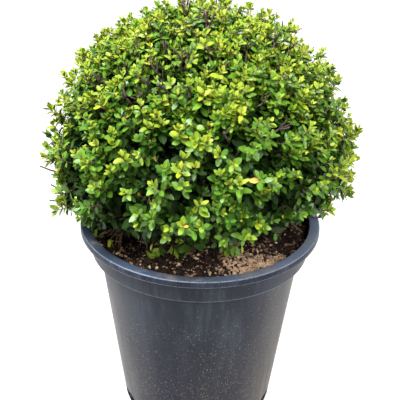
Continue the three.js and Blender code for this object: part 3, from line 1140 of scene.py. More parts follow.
@dataclass
class Crown:
    """The clipped ball: its reach in every direction, its masses, and the limbs that lead to them."""

    pot: NurseryPot
    compost: Compost
    radius: float = 175.0
    rise: float = 174.0
    drop_front: float = 78.0
    drop_side: float = 190.0
    above_rim: float = 88.0
    lowest_polar: float = math.radians(128.0)
    mass_middle: float = 0.58
    stem_gap: float = 0.3
    stem_height: float = 42.0
    stem_flare: float = 25.0
    stem_neck: float = 13.5
    stem_top: float = 11.0
    flare_share: float = 0.45
    stem_lean: float = 3.0
    short_by: float = 60.0
    bough_tip: float = 3.0
    bend_level: float = 0.5
    bend_rise: float = 0.22
    tiers: Sequence[Tier] = (
        Tier("top", 1, 0.0, 0.0, 0.9, 5.6),
        Tier("upper", 5, 51.0, -54.0, 0.56, 4.6),
        Tier("lower", 7, 97.0, -90.0, 0.3, 4.4),
    )

    @property
    def middle(self) -> np.ndarray:
        """The crown's middle."""
        return np.array((0.0, 0.0, self.pot.height + self.above_rim))

    def reach(self, direction: np.ndarray) -> np.ndarray:
        """Distance from the crown's middle to its clipped outline.

        Args:
            direction: Unit directions.

        Returns:
            The distance in each.
        """
        level = np.hypot(direction[..., 0], direction[..., 1])
        behind = direction[..., 1] / np.maximum(level, 1e-9)
        drop = blend(self.drop_front, self.drop_side, np.minimum(1, np.sqrt(np.maximum(0, 1 + behind))))
        upright = np.where(direction[..., 2] > 0, self.rise, drop)
        return 1 / np.hypot(level / self.radius, direction[..., 2] / upright)

    def under(self, points: np.ndarray) -> np.ndarray:
        """How far points lie under the clipped outline."""
        offset = points - self.middle
        return self.reach(unit(offset)) - np.linalg.norm(offset, axis=1)

    def out_to(self, direction: np.ndarray, beyond: Number) -> np.ndarray:
        """Points in some directions, beyond the clipped outline or short of it."""
        return self.middle + direction * (self.reach(direction) + beyond)[:, None]

    def mass_directions(self) -> np.ndarray:
        """Directions of all masses."""
        return np.concatenate([tier.directions() for tier in self.tiers])

    def mass_names(self) -> list[str]:
        """Names of all masses, in the same order."""
        return [name for tier in self.tiers for name in tier.masses()]

    def mass_tiers(self) -> np.ndarray:
        """The tier's number of each mass."""
        return np.repeat(np.arange(len(self.tiers)), [tier.count for tier in self.tiers])

    def mass_middles(self) -> np.ndarray:
        """Middles of all masses."""
        direction = self.mass_directions()
        return self.middle + direction * (self.mass_middle * self.reach(direction))[:, None]

    def mass_of(self, direction: np.ndarray) -> np.ndarray:
        """The mass whose cell each direction lies in."""
        return np.argmax(direction @ self.mass_directions().T, axis=1)

    def tier_of(self, direction: np.ndarray) -> np.ndarray:
        """The tier's number of that mass."""
        return self.mass_tiers()[self.mass_of(direction)]

    def stem(self) -> Arc:
        """The stem's line, upright at its foot and leaning a little at its top.

        Returns:
            One curve.
        """
        foot = np.array((0.0, 0.0, self.compost.level + self.stem_gap))
        top = foot + np.array((self.stem_lean, self.stem_lean / 2, self.stem_height))
        return Arc(foot[None], foot[None] + UP * self.stem_height / 2, top[None])

    def stem_radius(self, share: np.ndarray) -> np.ndarray:
        """The stem's radius along it, with its root flare."""
        flare = 1 - ease(share, 0.0, self.flare_share)
        return blend(self.stem_neck, self.stem_top, share) + (self.stem_flare - self.stem_neck) * flare**2

    def boughs(self) -> Arc:
        """The boughs' lines, from the stem to points short of the masses' middles.

        Returns:
            A curve for each mass.
        """
        root = self.stem().at(np.array([tier.root_share for tier in self.tiers])[self.mass_tiers()])
        middle = self.mass_middles()
        tip = middle - unit(middle - root) * self.short_by
        bend = blend(root, tip, self.bend_level)
        bend[:, 2] = blend(root[:, 2], tip[:, 2], self.bend_rise)
        return Arc(root, bend, tip)

    def mass_stems(self) -> Arc:
        """The masses' own stems, on from the boughs' tips to the masses' middles.

        Returns:
            A curve for each mass.
        """
        boughs = self.boughs()
        run = boughs.run(np.ones(len(boughs.end)))
        return Arc(boughs.end, boughs.end + run * self.short_by / 2, self.mass_middles())

    def spread(self, count: int) -> np.ndarray:
        """Directions spread evenly over the crown by the golden angle, from its top to its underside.

        Args:
            count: How many.

        Returns:
            Unit vectors.
        """
        index = np.arange(count)
        height = blend(1.0, math.cos(self.lowest_polar), (index + 0.5) / count)
        return direction_of(np.arccos(height), GOLDEN_TURN * index)


# Stem and boughs


@dataclass
class Limbs:
    """The short stem with its root flare, and the boughs, with the bark's relief."""

    crown: Crown
    sides: int = 20
    stem_steps: int = 26
    bough_steps: int = 30
    inset: float = 0.4
    weld: float = 0.01
    relief: Sequence[tuple[str, float, float]] = (("CLOUDS", 7.0, 2.4), ("STUCCI", 2.2, 0.9))
    bough_coarse: float = 0.5
    bark: Bark = Bark("old_bark", (0.045, 0.030, 0.020), (0.17, 0.12, 0.082), (0.22, 0.19, 0.155))

    def limb(self, name: str, line: np.ndarray, radii: np.ndarray, coarse: float) -> bpy.types.Object:
        """Models one limb: a curve with a round section, made a mesh, with ridges and cracks pushed in.

        Args:
            name: The piece's name.
            line: Points along the limb.
            radii: The limb's radius at each.
            coarse: Size of its ridges against the stem's.

        Returns:
            The limb as a closed mesh.
        """
        bare_selection()
        bpy.ops.curve.primitive_bezier_curve_add()
        curve = named(name).data
        curve.splines.clear()
        points = curve.splines.new("POLY").points
        points.add(len(line) - 1)
        points.foreach_set("co", np.c_[line * MM, np.ones(len(line))].astype(np.float32).ravel())
        points.foreach_set("radius", radii.astype(np.float32))
        curve.dimensions = "3D"
        curve.bevel_depth = MM
        curve.bevel_resolution = self.sides // 4
        curve.use_fill_caps = True
        bpy.ops.object.convert(target="MESH")
        limb = bpy.context.object
        edit()
        bpy.ops.mesh.remove_doubles(threshold=self.weld * MM)
        face_outward()
        for kind, scale, depth in self.relief:
            displace(limb, kind, {"noise_scale": scale * coarse * MM}, depth * coarse)
        only(limb)
        bpy.ops.object.shade_smooth()
        return limb

    def build(self) -> None:
        """Models and dresses the stem and all boughs."""
        crown, finish = self.crown, self.bark.make()
        radii = crown.stem_radius(np.linspace(0, 1, self.stem_steps)) - self.inset
        stem = self.limb("stem_bark", crown.stem().points(self.stem_steps)[0], radii, 1.0)
        settle(stem, finish, ["stem"])
        boughs = crown.boughs().points(self.bough_steps)
        for name, line, tier in zip(crown.mass_names(), boughs, crown.mass_tiers()):
            radii = blend(crown.tiers[tier].root_radius, crown.bough_tip, np.linspace(0, 1, self.bough_steps))
            bough = self.limb(f"bough_bark_{name}", line, radii, self.bough_coarse)
            settle(bough, finish, [f"bough_{name}"])


# What the foliage is made of


@dataclass
class Hollows(Rows):
    """Gaps in the clipped surface, where the shade of the crown's inside shows."""

    way: np.ndarray
    wide: np.ndarray
    deep: np.ndarray


@dataclass
class Twigs(Arc):
    """The twigs: their lines, their masses and their directions from the crown's middle."""

    mass: np.ndarray
    way: np.ndarray

    def nearest(self, way: np.ndarray) -> Self:
        """The twig that stands nearest to each direction."""
        return self.chosen(np.argmax(way @ self.way.T, axis=1))


@dataclass
class BareWood(Rows):
    """Leafless shoots: points along each, its radii there and the direction that it stands in."""

    lines: np.ndarray
    radii: np.ndarray
    way: np.ndarray


@dataclass
class Shoots(Arc):
    """The leafy shoots: their lines, and what varies from one to the next."""

    tier: np.ndarray
    vigour: np.ndarray
    roll: np.ndarray
    polar: np.ndarray
    shade: np.ndarray
    beyond: np.ndarray
    tone: np.ndarray


@dataclass
class Leaves(Rows):
    """All leaves: where each sits, how it is turned, its size and its kind."""

    base: np.ndarray
    along: np.ndarray
    upper: np.ndarray
    length: np.ndarray
    kind: np.ndarray
    tier: np.ndarray
    beyond: np.ndarray
    tone: np.ndarray


@dataclass(frozen=True)
class LeafPair:
    """A pair of opposite leaves on a shoot: how far below its tip, how long and how far opened."""

    below: float
    length: float
    opened: float


@dataclass(frozen=True)
class Wood:
    """One sort of wood: how it tapers along its run, and how finely it is made."""

    radii: Pair
    steps: int
    sides: int

    def taper(self, count: int) -> np.ndarray:
        """Radii along a count of like lines."""
        return np.broadcast_to(np.linspace(*self.radii, self.steps), (count, self.steps))

    def along(self, lines: Arc) -> Arrays:
        """Tubes along curves."""
        return tubes(lines.points(self.steps), self.taper(len(lines.start)), self.sides)


@dataclass
class Blade:
    """A leaf's outline: three rows of points from base to tip, folded along its midrib and arched."""

    width: float = 0.56
    rows: Triple = (0.2, 0.5, 0.82)
    spans: Triple = (0.70, 1.0, 0.66)
    fold: Pair = (0.02, 0.34)
    arch: Pair = (-0.05, 0.3)
    plump: Pair = (0.82, 1.16)

    FACES = (
        (0, 2, 1), (0, 3, 2),
        (1, 2, 5, 4), (2, 3, 6, 5), (4, 5, 8, 7), (5, 6, 9, 8),
        (7, 8, 10), (8, 9, 10),
    )
    POINTS = 11

    def flat(self) -> tuple[np.ndarray, np.ndarray]:
        """Places of the blade's points, across it from -1 to 1 and along it from 0 to 1.

        Returns:
            The places across, and those along.
        """
        across, along = [0.0], [0.0]
        for row, span in zip(self.rows, self.spans):
            across.extend((-span, 0.0, span))
            along.extend((row, row, row))
        return np.array(across + [0.0]), np.array(along + [1.0])

    def points(self, leaves: Leaves, chance: np.random.Generator) -> np.ndarray:
        """Points of all leaves, each with its own fold, arch and width.

        Args:
            leaves: The leaves.
            chance: Source of chance values.

        Returns:
            Leaves by points by axes, in millimetres.
        """
        count = len(leaves.length)
        across, along = self.flat()
        half = self.width / 2 * chance.uniform(*self.plump, count)[:, None] * across
        fold = chance.uniform(*self.fold, count)[:, None] * np.abs(half)
        arch = chance.uniform(*self.arch, count)[:, None] * along**2
        side = np.cross(leaves.along, leaves.upper)
        local = (
            half[..., None] * side[:, None]
            + along[None, :, None] * leaves.along[:, None]
            + (fold - arch)[..., None] * leaves.upper[:, None]
        )
        return leaves.base[:, None] + local * leaves.length[:, None, None]

    def piece(self, name: str, leaves: Leaves, chance: np.random.Generator) -> bpy.types.Object:
        """One kind of leaf as one joined mesh.

        Args:
            name: The piece's name.
            leaves: The leaves.
            chance: Source of chance values.

        Returns:
            The piece.
        """
        points = self.points(leaves, chance).reshape(-1, 3)
        corners, sizes = repeated(self.FACES, len(leaves.length), self.POINTS)
        across, along = self.flat()
        flat = np.stack((across / 2 + 0.5, along), axis=-1)[corners % self.POINTS]
        return mesh_piece(name, points, corners, sizes, flat, np.repeat(leaves.tone, self.POINTS))


# How the foliage grows


@dataclass
class Surface:
    """The clipped surface: its hollows, dents, clumps and lobes, and the raised hem over the compost.

    Places are angles in degrees, off the vertical and about it. The widths and depths of hollows are those
    round the bare forks, in front and all round, in this order.
    """

    crown: Crown
    chance: np.random.Generator
    forks: Sequence[Pair] = (
        (28.0, -120.7), (26.2, -50.3), (41.1, -142.0), (43.0, -120.9), (37.3, -119.0), (45.0, -106.9),
        (9.6, -77.6), (35.8, -77.6), (29.9, -100.7), (33.3, -141.8), (48.7, -121.8), (48.7, -58.3),
    )
    fork_spread: int = 88
    fork_polar: float = math.radians(58)
    fork_jitter: float = 0.1
    gaps: Sequence[Pair] = (
        (61.8, -97.0), (68.1, -104.5), (60.8, -73.5), (69.4, -64.0), (53.1, -63.4), (49.5, -87.9),
        (67.4, -120.9), (77.2, -93.7), (81.8, -107.1), (80.2, -71.9), (89.5, -87.1), (86.0, -60.9),
        (77.0, -131.6), (89.4, -118.0),
    )
    hollow_count: int = 90
    hollow_jitter: float = 0.09
    hollow_wide: Sequence[Pair] = ((8.0, 13.0), (9.0, 15.0), (7.0, 17.0))
    hollow_deep: Sequence[Pair] = ((14.0, 23.0), (30.0, 52.0), (10.0, 48.0))
    hollow_edge: Pair = (0.45, 1.25)
    dents: Sequence[Pair] = (
        (55.5, 157.6), (47.7, 149.7), (36.1, 130.5), (53.1, 24.6), (102.4, -7.0), (35.8, 50.2),
        (91.5, -178.5), (99.5, -174.0),
    )
    dent_wide: float = 20.0
    dent_deep: float = 11.0
    clump_count: int = 460
    clump_jitter: float = 0.035
    clump_seam: Pair = (1.5, 10.0)
    clump_deep: Pair = (8.0, 36.0)
    clump_uneven: float = 8.0
    lobe_count: int = 110
    lobe_jitter: float = 0.08
    lobe_reach: Pair = (0.965, 0.998)
    lobe_uneven: float = 6.0
    open_share: Pair = (0.42, 1.35)
    open_polar: Pair = (math.radians(25), math.radians(80))
    hem_turns: Sequence[float] = (-180.0, -164.0, -148.0, -125.0, -90.0, -60.0, -35.0, 0.0, 180.0)
    hem_heights: Sequence[float] = (-6.0, -2.0, 14.0, 28.0, 34.0, 38.0, 35.0, 4.0, -6.0)
    hem_radius: float = 120.0
    hem_slope: float = 0.6
    hem_bays: Sequence[Triple] = ((4.0, 17.0, 1.0), (3.0, 29.0, 0.0))
    leaf_beyond: float = 7.0

    def __post_init__(self) -> None:
        """Picks the places of the bare forks and of all hollows."""
        self.fork_way = self.fork_ways()
        self.hollows = self.all_hollows()

    def scattered(self, count: int, jitter: float) -> np.ndarray:
        """Directions spread over the crown, each moved a little by chance."""
        return unit(self.crown.spread(count) + self.chance.normal(0, jitter, (count, 3)))

    def apart(self, direction: np.ndarray, others: np.ndarray) -> np.ndarray:
        """Distances over the crown's surface from directions to others."""
        return np.arccos(np.clip(direction @ others.T, -1, 1)) * self.crown.radius

    def fork_ways(self) -> np.ndarray:
        """Directions of the bare forks: those that show in front, then others all round the upper crown.

        Returns:
            Unit vectors.
        """
        spread = self.crown.spread(self.fork_spread)
        upper = spread[spread[:, 2] > math.cos(self.fork_polar)]
        upper = unit(upper + self.chance.normal(0, self.fork_jitter, upper.shape))
        return np.concatenate((ways_of(self.forks), upper))

    def all_hollows(self) -> Hollows:
        """The hollows round the forks, the gaps in front, those scattered all round, and the dents.

        Returns:
            All of them.
        """
        ways = [self.fork_way, ways_of(self.gaps), self.scattered(self.hollow_count, self.hollow_jitter)]
        wide, deep = (
            [self.chance.uniform(*span, len(way)) for span, way in zip(spans, ways)]
            for spans in (self.hollow_wide, self.hollow_deep)
        )
        deep[-1] *= self.openness(ways[-1])
        lots = [Hollows(*parts) for parts in zip(ways, wide, deep)]
        even = np.ones(len(self.dents))
        lots.append(Hollows(ways_of(self.dents), self.dent_wide * even, self.dent_deep * even))
        return Hollows.gathered(lots)

    def hollowed(self, direction: np.ndarray) -> np.ndarray:
        """How far the surface is set back in some directions."""
        level = 1 - ease(self.apart(direction, self.hollows.way) / self.hollows.wide, *self.hollow_edge)
        return (level * self.hollows.deep).max(axis=1)

    def openness(self, direction: np.ndarray) -> np.ndarray:
        """How open the clipped surface is: close on top, more open down the sides."""
        return blend(*self.open_share, ease(polar_of(direction), *self.open_polar))

    def clumped(self, direction: np.ndarray) -> np.ndarray:
        """How far shoots are set back by the seams between clumps, and by each clump's own height.

        Args:
            direction: Directions of the shoots from the crown's middle.

        Returns:
            Set-back of each shoot.
        """
        chance, count = self.chance, self.clump_count
        away = self.apart(direction, self.scattered(count, self.clump_jitter))
        nearest = np.argsort(away, axis=1)[:, :2]
        first, second = np.take_along_axis(away, nearest, axis=1).T
        own = nearest[:, 0]
        seam = (1 - ease(second - first, *self.clump_seam)) * self.openness(direction)
        deep = chance.uniform(*self.clump_deep, count)[own]
        near = ease(direction @ self.scattered(self.lobe_count, self.lobe_jitter).T, *self.lobe_reach)
        high = chance.uniform(-1, 1, self.lobe_count)
        lobe = (near * high).sum(axis=1) / np.maximum(near.sum(axis=1), 1e-6)
        return seam * deep + chance.uniform(0, self.clump_uneven, count)[own] + self.lobe_uneven * (1 + lobe)

    def over_hem(self, points: np.ndarray) -> np.ndarray:
        """Height of points over the crown's hem, which is raised in front, where the compost shows.

        Args:
            points: The points.

        Returns:
            The height of each.
        """
        turn = np.degrees(np.arctan2(points[:, 1], points[:, 0]))
        away = np.hypot(points[:, 0], points[:, 1])
        hem = self.crown.pot.height + np.interp(turn, self.hem_turns, self.hem_heights)
        hem += sum(high * np.sin(np.radians(turn) * waves + start) for high, waves, start in self.hem_bays)
        return points[:, 2] - hem - self.hem_slope * (away - self.hem_radius)


@dataclass
class Growth:
    """How something grows to the clipped surface of the crown."""

    surface: Surface

    @property
    def crown(self) -> Crown:
        """The crown."""
        return self.surface.crown

    @property
    def chance(self) -> np.random.Generator:
        """Source of chance values."""
        return self.surface.chance


@dataclass
class TwigGrowth(Growth):
    """How twigs grow from the masses' stems to tips spread over the crown."""

    count: int = 340
    jitter: float = 0.03
    root: Pair = (0.25, 1.0)
    short: float = 25.0
    ragged: float = 10.0
    hollowed: float = 0.5
    crook: float = 6.5
    sag: float = 5.0

    def grow(self) -> Twigs:
        """Grows the twigs.

        Returns:
            The twigs.
        """
        surface, crown, chance = self.surface, self.crown, self.chance
        way = surface.scattered(self.count, self.jitter)
        mass = crown.mass_of(way)
        root = crown.mass_stems().chosen(mass).at(chance.uniform(*self.root, self.count))
        set_back = self.short + chance.uniform(0, self.ragged, self.count)
        tip = crown.out_to(way, -(set_back + surface.hollowed(way) * self.hollowed))
        bend = blend(root, tip, 0.5) + chance.normal(0, self.crook, way.shape) - UP * self.sag
        return Twigs(root, bend, tip, mass, way)


@dataclass
class ShootGrowth(Growth):
    """How leafy shoots grow from the twigs to the outline, with strays and tufts that lead out of it."""

    count: int = 6000
    jitter: float = 0.022
    uneven: float = 7.0
    length: Pair = (26.0, 50.0)
    root: Pair = (0.2, 0.97)
    scatter: float = 0.34
    bend: float = 0.5
    tip_short: float = 2.2
    other_mass: float = 0.35
    dense_polar: float = math.radians(56)
    dense_every: int = 3
    inner_share: float = 0.16
    inner_depth: Pair = (14.0, 84.0)
    hollow_uneven: Pair = (0.75, 1.1)
    stray_share: float = 0.07
    stray_out: Pair = (2.0, 7.0)
    tuft_spread: int = 116
    tuft_every: int = 6
    tuft_shoots: int = 3
    tuft_beyond: float = 8.0
    tuft_uneven: Pair = (-0.3, 1.0)
    tufts: Sequence[Pair] = (
        (66.7, 166.2), (76.2, 172.2), (51.0, 153.4), (57.8, 159.6), (56.1, 21.9), (109.1, -168.9),
        (116.3, -164.1), (62.6, 16.7), (33.0, 58.8), (42.3, 142.5), (82.7, 4.1), (111.6, -12.7),
        (30.2, 107.6), (30.0, 73.7), (44.1, 34.9),
    )
    lift: Pair = (1.4, 0.2)
    lift_polar: Pair = (math.radians(78), math.radians(116))
    vigour: Pair = (0.76, 0.92)
    vigour_polar: Pair = (math.radians(30), math.radians(98))
    vigour_uneven: Pair = (0.8, 1.2)
    hem_ragged: Pair = (-4.0, 10.0)
    low_thinned: float = 0.48
    low_polar: Pair = (math.radians(66), math.radians(92))
    low_front: Pair = (0.15, 0.7)

    def ways(self) -> tuple[np.ndarray, np.ndarray]:
        """Directions of the shoots' tips: all round, more on top, and in the leading tufts.

        Returns:
            Unit vectors, and whether each is of a leading tuft.
        """
        crown = self.crown
        spread = crown.spread(2 * self.count)
        top = spread[spread[:, 2] > math.cos(self.dense_polar)][::self.dense_every]
        leading = np.concatenate((crown.spread(self.tuft_spread)[::self.tuft_every], ways_of(self.tufts)))
        leading = np.repeat(leading, self.tuft_shoots, axis=0)
        way = np.concatenate((crown.spread(self.count), top, leading))
        leads = np.arange(len(way)) >= len(way) - len(leading)
        return unit(way + self.chance.normal(0, self.jitter, way.shape)), leads

    def depths(self, way: np.ndarray, leads: np.ndarray) -> tuple[np.ndarray, np.ndarray]:
        """How far under the clipped outline the shoots' tips end.

        Args:
            way: Directions of the tips.
            leads: Whether each is of a leading tuft.

        Returns:
            The depths, and whether each shoot strays out.
        """
        surface, chance, count = self.surface, self.chance, len(way)
        outer = chance.random(count) > self.inner_share
        inner = chance.uniform(*self.inner_depth, count)
        depth = np.where(outer, chance.uniform(0, self.uneven, count), inner)
        depth += surface.hollowed(way) * chance.uniform(*self.hollow_uneven, count)
        depth += surface.clumped(way)
        strays = chance.random(count) < self.stray_share
        out = chance.uniform(*self.stray_out, count)
        depth = np.where(strays, np.minimum(depth, surface.lobe_uneven) - out, depth)
        return np.where(leads, -self.tuft_beyond * chance.uniform(*self.tuft_uneven, count), depth), strays

    def grow(self, twigs: Twigs) -> Shoots:
        """Grows the shoots, and leaves out those under the hem and some low in front.

        Args:
            twigs: The twigs.

        Returns:
            The shoots.
        """
        surface, crown, chance = self.surface, self.crown, self.chance
        way, leads = self.ways()
        depth, strays = self.depths(way, leads)
        count, mass, polar = len(way), crown.mass_of(way), polar_of(way)
        reach = crown.reach(way) - self.tip_short - depth
        tip = crown.middle + way * reach[:, None]
        other = np.where(mass[:, None] == twigs.mass[None, :], 0.0, self.other_mass)
        own = twigs.chosen(np.argmax(way @ twigs.way.T - other, axis=1))
        inner, outer = (np.linalg.norm(end - crown.middle, axis=1) for end in (own.start, own.end))
        length = chance.uniform(*self.length, count)
        share = (reach - length - inner) / np.maximum(outer - inner, 1.0)
        root = own.at(np.clip(share, *self.root))
        lift = blend(*self.lift, ease(polar, *self.lift_polar))[:, None]
        run = unit(way + UP * lift + chance.normal(0, self.scatter, way.shape))
        bend = tip - run * (np.linalg.norm(tip - root, axis=1) * self.bend)[:, None]
        vigour = blend(*self.vigour, ease(polar, *self.vigour_polar))
        vigour = vigour * chance.uniform(*self.vigour_uneven, count)
        roll, shade = chance.uniform(0, 2 * np.pi, count), chance.random(count)
        beyond = surface.leaf_beyond + np.where(leads | strays, self.tuft_beyond, 0.0)
        kept = surface.over_hem(tip) > chance.uniform(*self.hem_ragged, count)
        thinned = ease(polar, *self.low_polar) * ease(-way[:, 1], *self.low_front)
        kept &= chance.random(count) > self.low_thinned * thinned
        tier, tone = crown.mass_tiers()[mass], chance.random(count)
        return Shoots(root, bend, tip, tier, vigour, roll, polar, shade, beyond, tone).chosen(kept)


@dataclass
class HangingGrowth(Growth):
    """How longer shoots arch out over the compost along the raised hem."""

    turns: Sequence[float] = (-171.0, -157.0, -140.0, -119.0, -110.0, -103.0, -92.0, -76.0, -68.0, -51.0)
    tuft_shoots: int = 4
    jitter: float = 0.03
    away: Pair = (114.0, 130.0)
    below: Pair = (2.0, 14.0)
    root: Pair = (0.7, 0.95)
    bend: float = 0.6
    out: float = 7.0
    rise: Pair = (4.0, 10.0)
    vigour: Pair = (1.0, 1.2)
    shade: float = 0.5

    def grow(self, twigs: Twigs) -> Shoots:
        """Grows the shoots.

        Args:
            twigs: The twigs.

        Returns:
            The shoots.
        """
        surface, crown, chance = self.surface, self.crown, self.chance
        turn = np.radians(np.repeat(self.turns, self.tuft_shoots))
        count = len(turn)
        turn += chance.normal(0, self.jitter, count)
        out = np.stack((np.cos(turn), np.sin(turn), np.zeros(count)), axis=-1)
        tip = out * chance.uniform(*self.away, (count, 1)) + UP * crown.pot.height
        tip[:, 2] -= surface.over_hem(tip) + chance.uniform(*self.below, count)
        way = unit(tip - crown.middle)
        root = twigs.nearest(way).at(chance.uniform(*self.root, count))
        bend = blend(root, tip, self.bend) + out * self.out + UP * chance.uniform(*self.rise, (count, 1))
        vigour, roll = chance.uniform(*self.vigour, count), chance.uniform(0, 2 * np.pi, count)
        shade, beyond = chance.uniform(0, self.shade, count), np.full(count, surface.leaf_beyond)
        tone = chance.random(count)
        return Shoots(root, bend, tip, crown.tier_of(way), vigour, roll, polar_of(way), shade, beyond, tone)


@dataclass
class LeafGrowth(Growth):
    """How opposite pairs of leaves stand on the shoots, and how their kinds are dealt out."""

    pairs: Sequence[LeafPair] = (
        LeafPair(0.6, 7.4, 17.0), LeafPair(2.4, 9.4, 33.0), LeafPair(5.6, 11.0, 49.0),
        LeafPair(10.2, 12.0, 63.0), LeafPair(15.6, 12.8, 70.0), LeafPair(21.6, 13.0, 75.0),
        LeafPair(28.0, 12.6, 78.0), LeafPair(34.5, 12.0, 80.0),
    )
    apart: Pair = (0.75, 0.3)
    share: Pair = (0.02, 1.0)
    lowest: float = 0.9
    turn: float = 0.2
    opening: float = 8.0
    droop: float = 0.012
    droop_uneven: Pair = (0.2, 1.4)
    light_out: float = 0.5
    light_up: float = 0.8
    to_light: Pair = (0.16, 0.09)
    to_light_ranks: int = 4
    tilt: float = 0.1
    uneven: Pair = (0.84, 1.14)
    stalk: float = 0.5
    half_width: float = 0.2
    lost: float = 0.012
    deepest: float = 92.0
    depth_blur: float = 3.0
    pot_rim: Pair = (122.0, 143.0)
    pot_clear: Triple = (-9.0, 2.0, -16.0)
    hem_hang: Pair = (18.0, -3.0)
    age_by_rank: float = 0.15
    # Deeper leaves, and low leaves in front more than at the sides, are aged towards the darker kinds, partly
    # as painted shade.
    age_by_depth: float = 0.016
    age_below: Pair = (-0.02, 0.62)
    age_polar: Pair = (math.radians(40), math.radians(95))
    young_tip: float = 0.5
    young_step: float = 0.2
    tip_until: float = 0.92
    fresh_until: float = 1.20
    # Depth under the outline past which leaves take the dark kinds as painted shade: on top, at the sides, in
    # front.
    old_below: Triple = (26.0, 22.0, 12.0)
    shade_after: float = 9.0
    shade_thinned: float = 0.5
    shade_larger: float = 1.2
    turned_share: float = 0.0022
    tone_scatter: float = 0.35

    def kinds_for(self, shoots: Shoots, rank: int, under: np.ndarray) -> np.ndarray:
        """Kinds of the leaves of one rank, dealt out by shoot and by depth in the crown, with leaves deep in
        the crown and low in front darkened as painted shade.

        Args:
            shoots: The shoots.
            rank: The pair's place, counted from the shoot's tip.
            under: How far the leaves sit under the crown's outline.

        Returns:
            A leaf kind for each shoot.
        """
        front = np.maximum(0, -unit(shoots.end - self.crown.middle)[:, 1])
        down = ease(shoots.polar, *self.age_polar)
        lower = down * blend(*self.age_below, front) * min(1.0, self.young_tip + rank * self.young_step)
        # Depth and the low front push leaves towards darker kinds: partly age, partly painted shade.
        age = shoots.shade + self.age_by_rank * rank + self.age_by_depth * np.maximum(under, 0) + lower
        kind = np.where(age < self.tip_until, LeafKind.TIP, LeafKind.FRESH)
        kind = np.where(age > self.fresh_until, LeafKind.GROWN, kind)
        # Leaves deep under the outline take the dark old kind, then the shade kind, sooner in front and low
        # down: painted shade.
        upper, side, face = self.old_below
        old_below = blend(upper, blend(side, face, front), down)
        kind = np.where(under > old_below, LeafKind.OLD, kind)
        kind = np.where(under > old_below + self.shade_after, LeafKind.SHADE, kind)
        return np.where(self.chance.random(len(under)) < self.turned_share, LeafKind.TURNED, kind)

    def half_pairs(self, shoots: Shoots, rank: int, half: float) -> Leaves:
        """One leaf of the pair of one rank on each shoot.

        Args:
            shoots: The shoots.
            rank: The pair's place, counted from the shoot's tip.
            half: The turn about the shoot from the pair's first leaf.

        Returns:
            The leaves that are kept.
        """
        crown, chance, pair = self.crown, self.chance, self.pairs[rank]
        count, chord = len(shoots.tone), shoots.length
        least, more = self.apart
        below = pair.below * (least + more * shoots.vigour)
        share = np.clip(1 - below / chord, *self.share)
        run, stand = shoots.run(share), shoots.at(share)
        side, other = sides_of(run, run)
        turn = (shoots.roll + rank * np.pi / 2 + half + chance.normal(0, self.turn, count))[:, None]
        outward = side * np.cos(turn) + other * np.sin(turn)
        opened = np.radians(pair.opened + chance.normal(0, self.opening, count))[:, None]
        droop = self.droop * pair.length * chance.uniform(*self.droop_uneven, (count, 1))
        along = unit(run * np.cos(opened) + outward * np.sin(opened) - UP * droop)
        upper = run * np.sin(opened) - outward * np.cos(opened)
        light = unit(unit(stand - crown.middle) * self.light_out + UP * self.light_up)
        least, more = self.to_light
        turned = least + more * min(rank, self.to_light_ranks)
        upper = upper * (1 - turned) + light * turned + chance.normal(0, self.tilt, run.shape)
        upper = unit(upper - along * np.sum(upper * along, axis=1, keepdims=True))
        length = pair.length * shoots.vigour * chance.uniform(*self.uneven, count)
        under = crown.under(stand) + chance.normal(0, self.depth_blur, count)
        keep = (below < chord * self.lowest) & (under < self.deepest)
        keep &= chance.random(count) > self.lost * rank
        kind = self.kinds_for(shoots, rank, under)
        shaded = kind == LeafKind.SHADE
        keep &= ~shaded | (chance.random(count) > self.shade_thinned)
        length = np.where(shaded, length * self.shade_larger, length)
        tone = blend(shoots.tone, chance.random(count), self.tone_scatter)
        base = stand + outward * self.stalk
        return Leaves(base, along, upper, length, kind, shoots.tier, shoots.beyond, tone).chosen(keep)

    def has_room(self, leaves: Leaves) -> np.ndarray:
        """Whether each leaf keeps off the compost and the pot's rim, and within the crown.

        Args:
            leaves: The leaves.

        Returns:
            A yes or no for each.
        """
        crown = self.crown
        tip = leaves.base + leaves.along * leaves.length[:, None]
        away = np.hypot(tip[:, 0], tip[:, 1])
        low = np.minimum(tip[:, 2], leaves.base[:, 2]) - leaves.length * self.half_width
        inside, outside = self.pot_rim
        over_soil, over_rim, beside = self.pot_clear
        clear = np.where(away < inside, over_soil, np.where(away < outside, over_rim, beside))
        hang, dark_hang = self.hem_hang
        hanging = np.where(np.isin(leaves.kind, (LeafKind.OLD, LeafKind.SHADE)), dark_hang, hang)
        fits = (low > crown.pot.height + clear) & (self.surface.over_hem(tip) > -hanging)
        return fits & (crown.under(tip) > -leaves.beyond)

    def grow(self, shoots: Shoots) -> Leaves:
        """Opposite pairs of leaves down each shoot, each pair crossing the one above it.

        Args:
            shoots: The shoots.

        Returns:
            The leaves that have room.
        """
        halves = [(rank, half) for rank in range(len(self.pairs)) for half in (0.0, np.pi)]
        leaves = Leaves.gathered([self.half_pairs(shoots, rank, half) for rank, half in halves])
        return leaves.chosen(self.has_room(leaves))


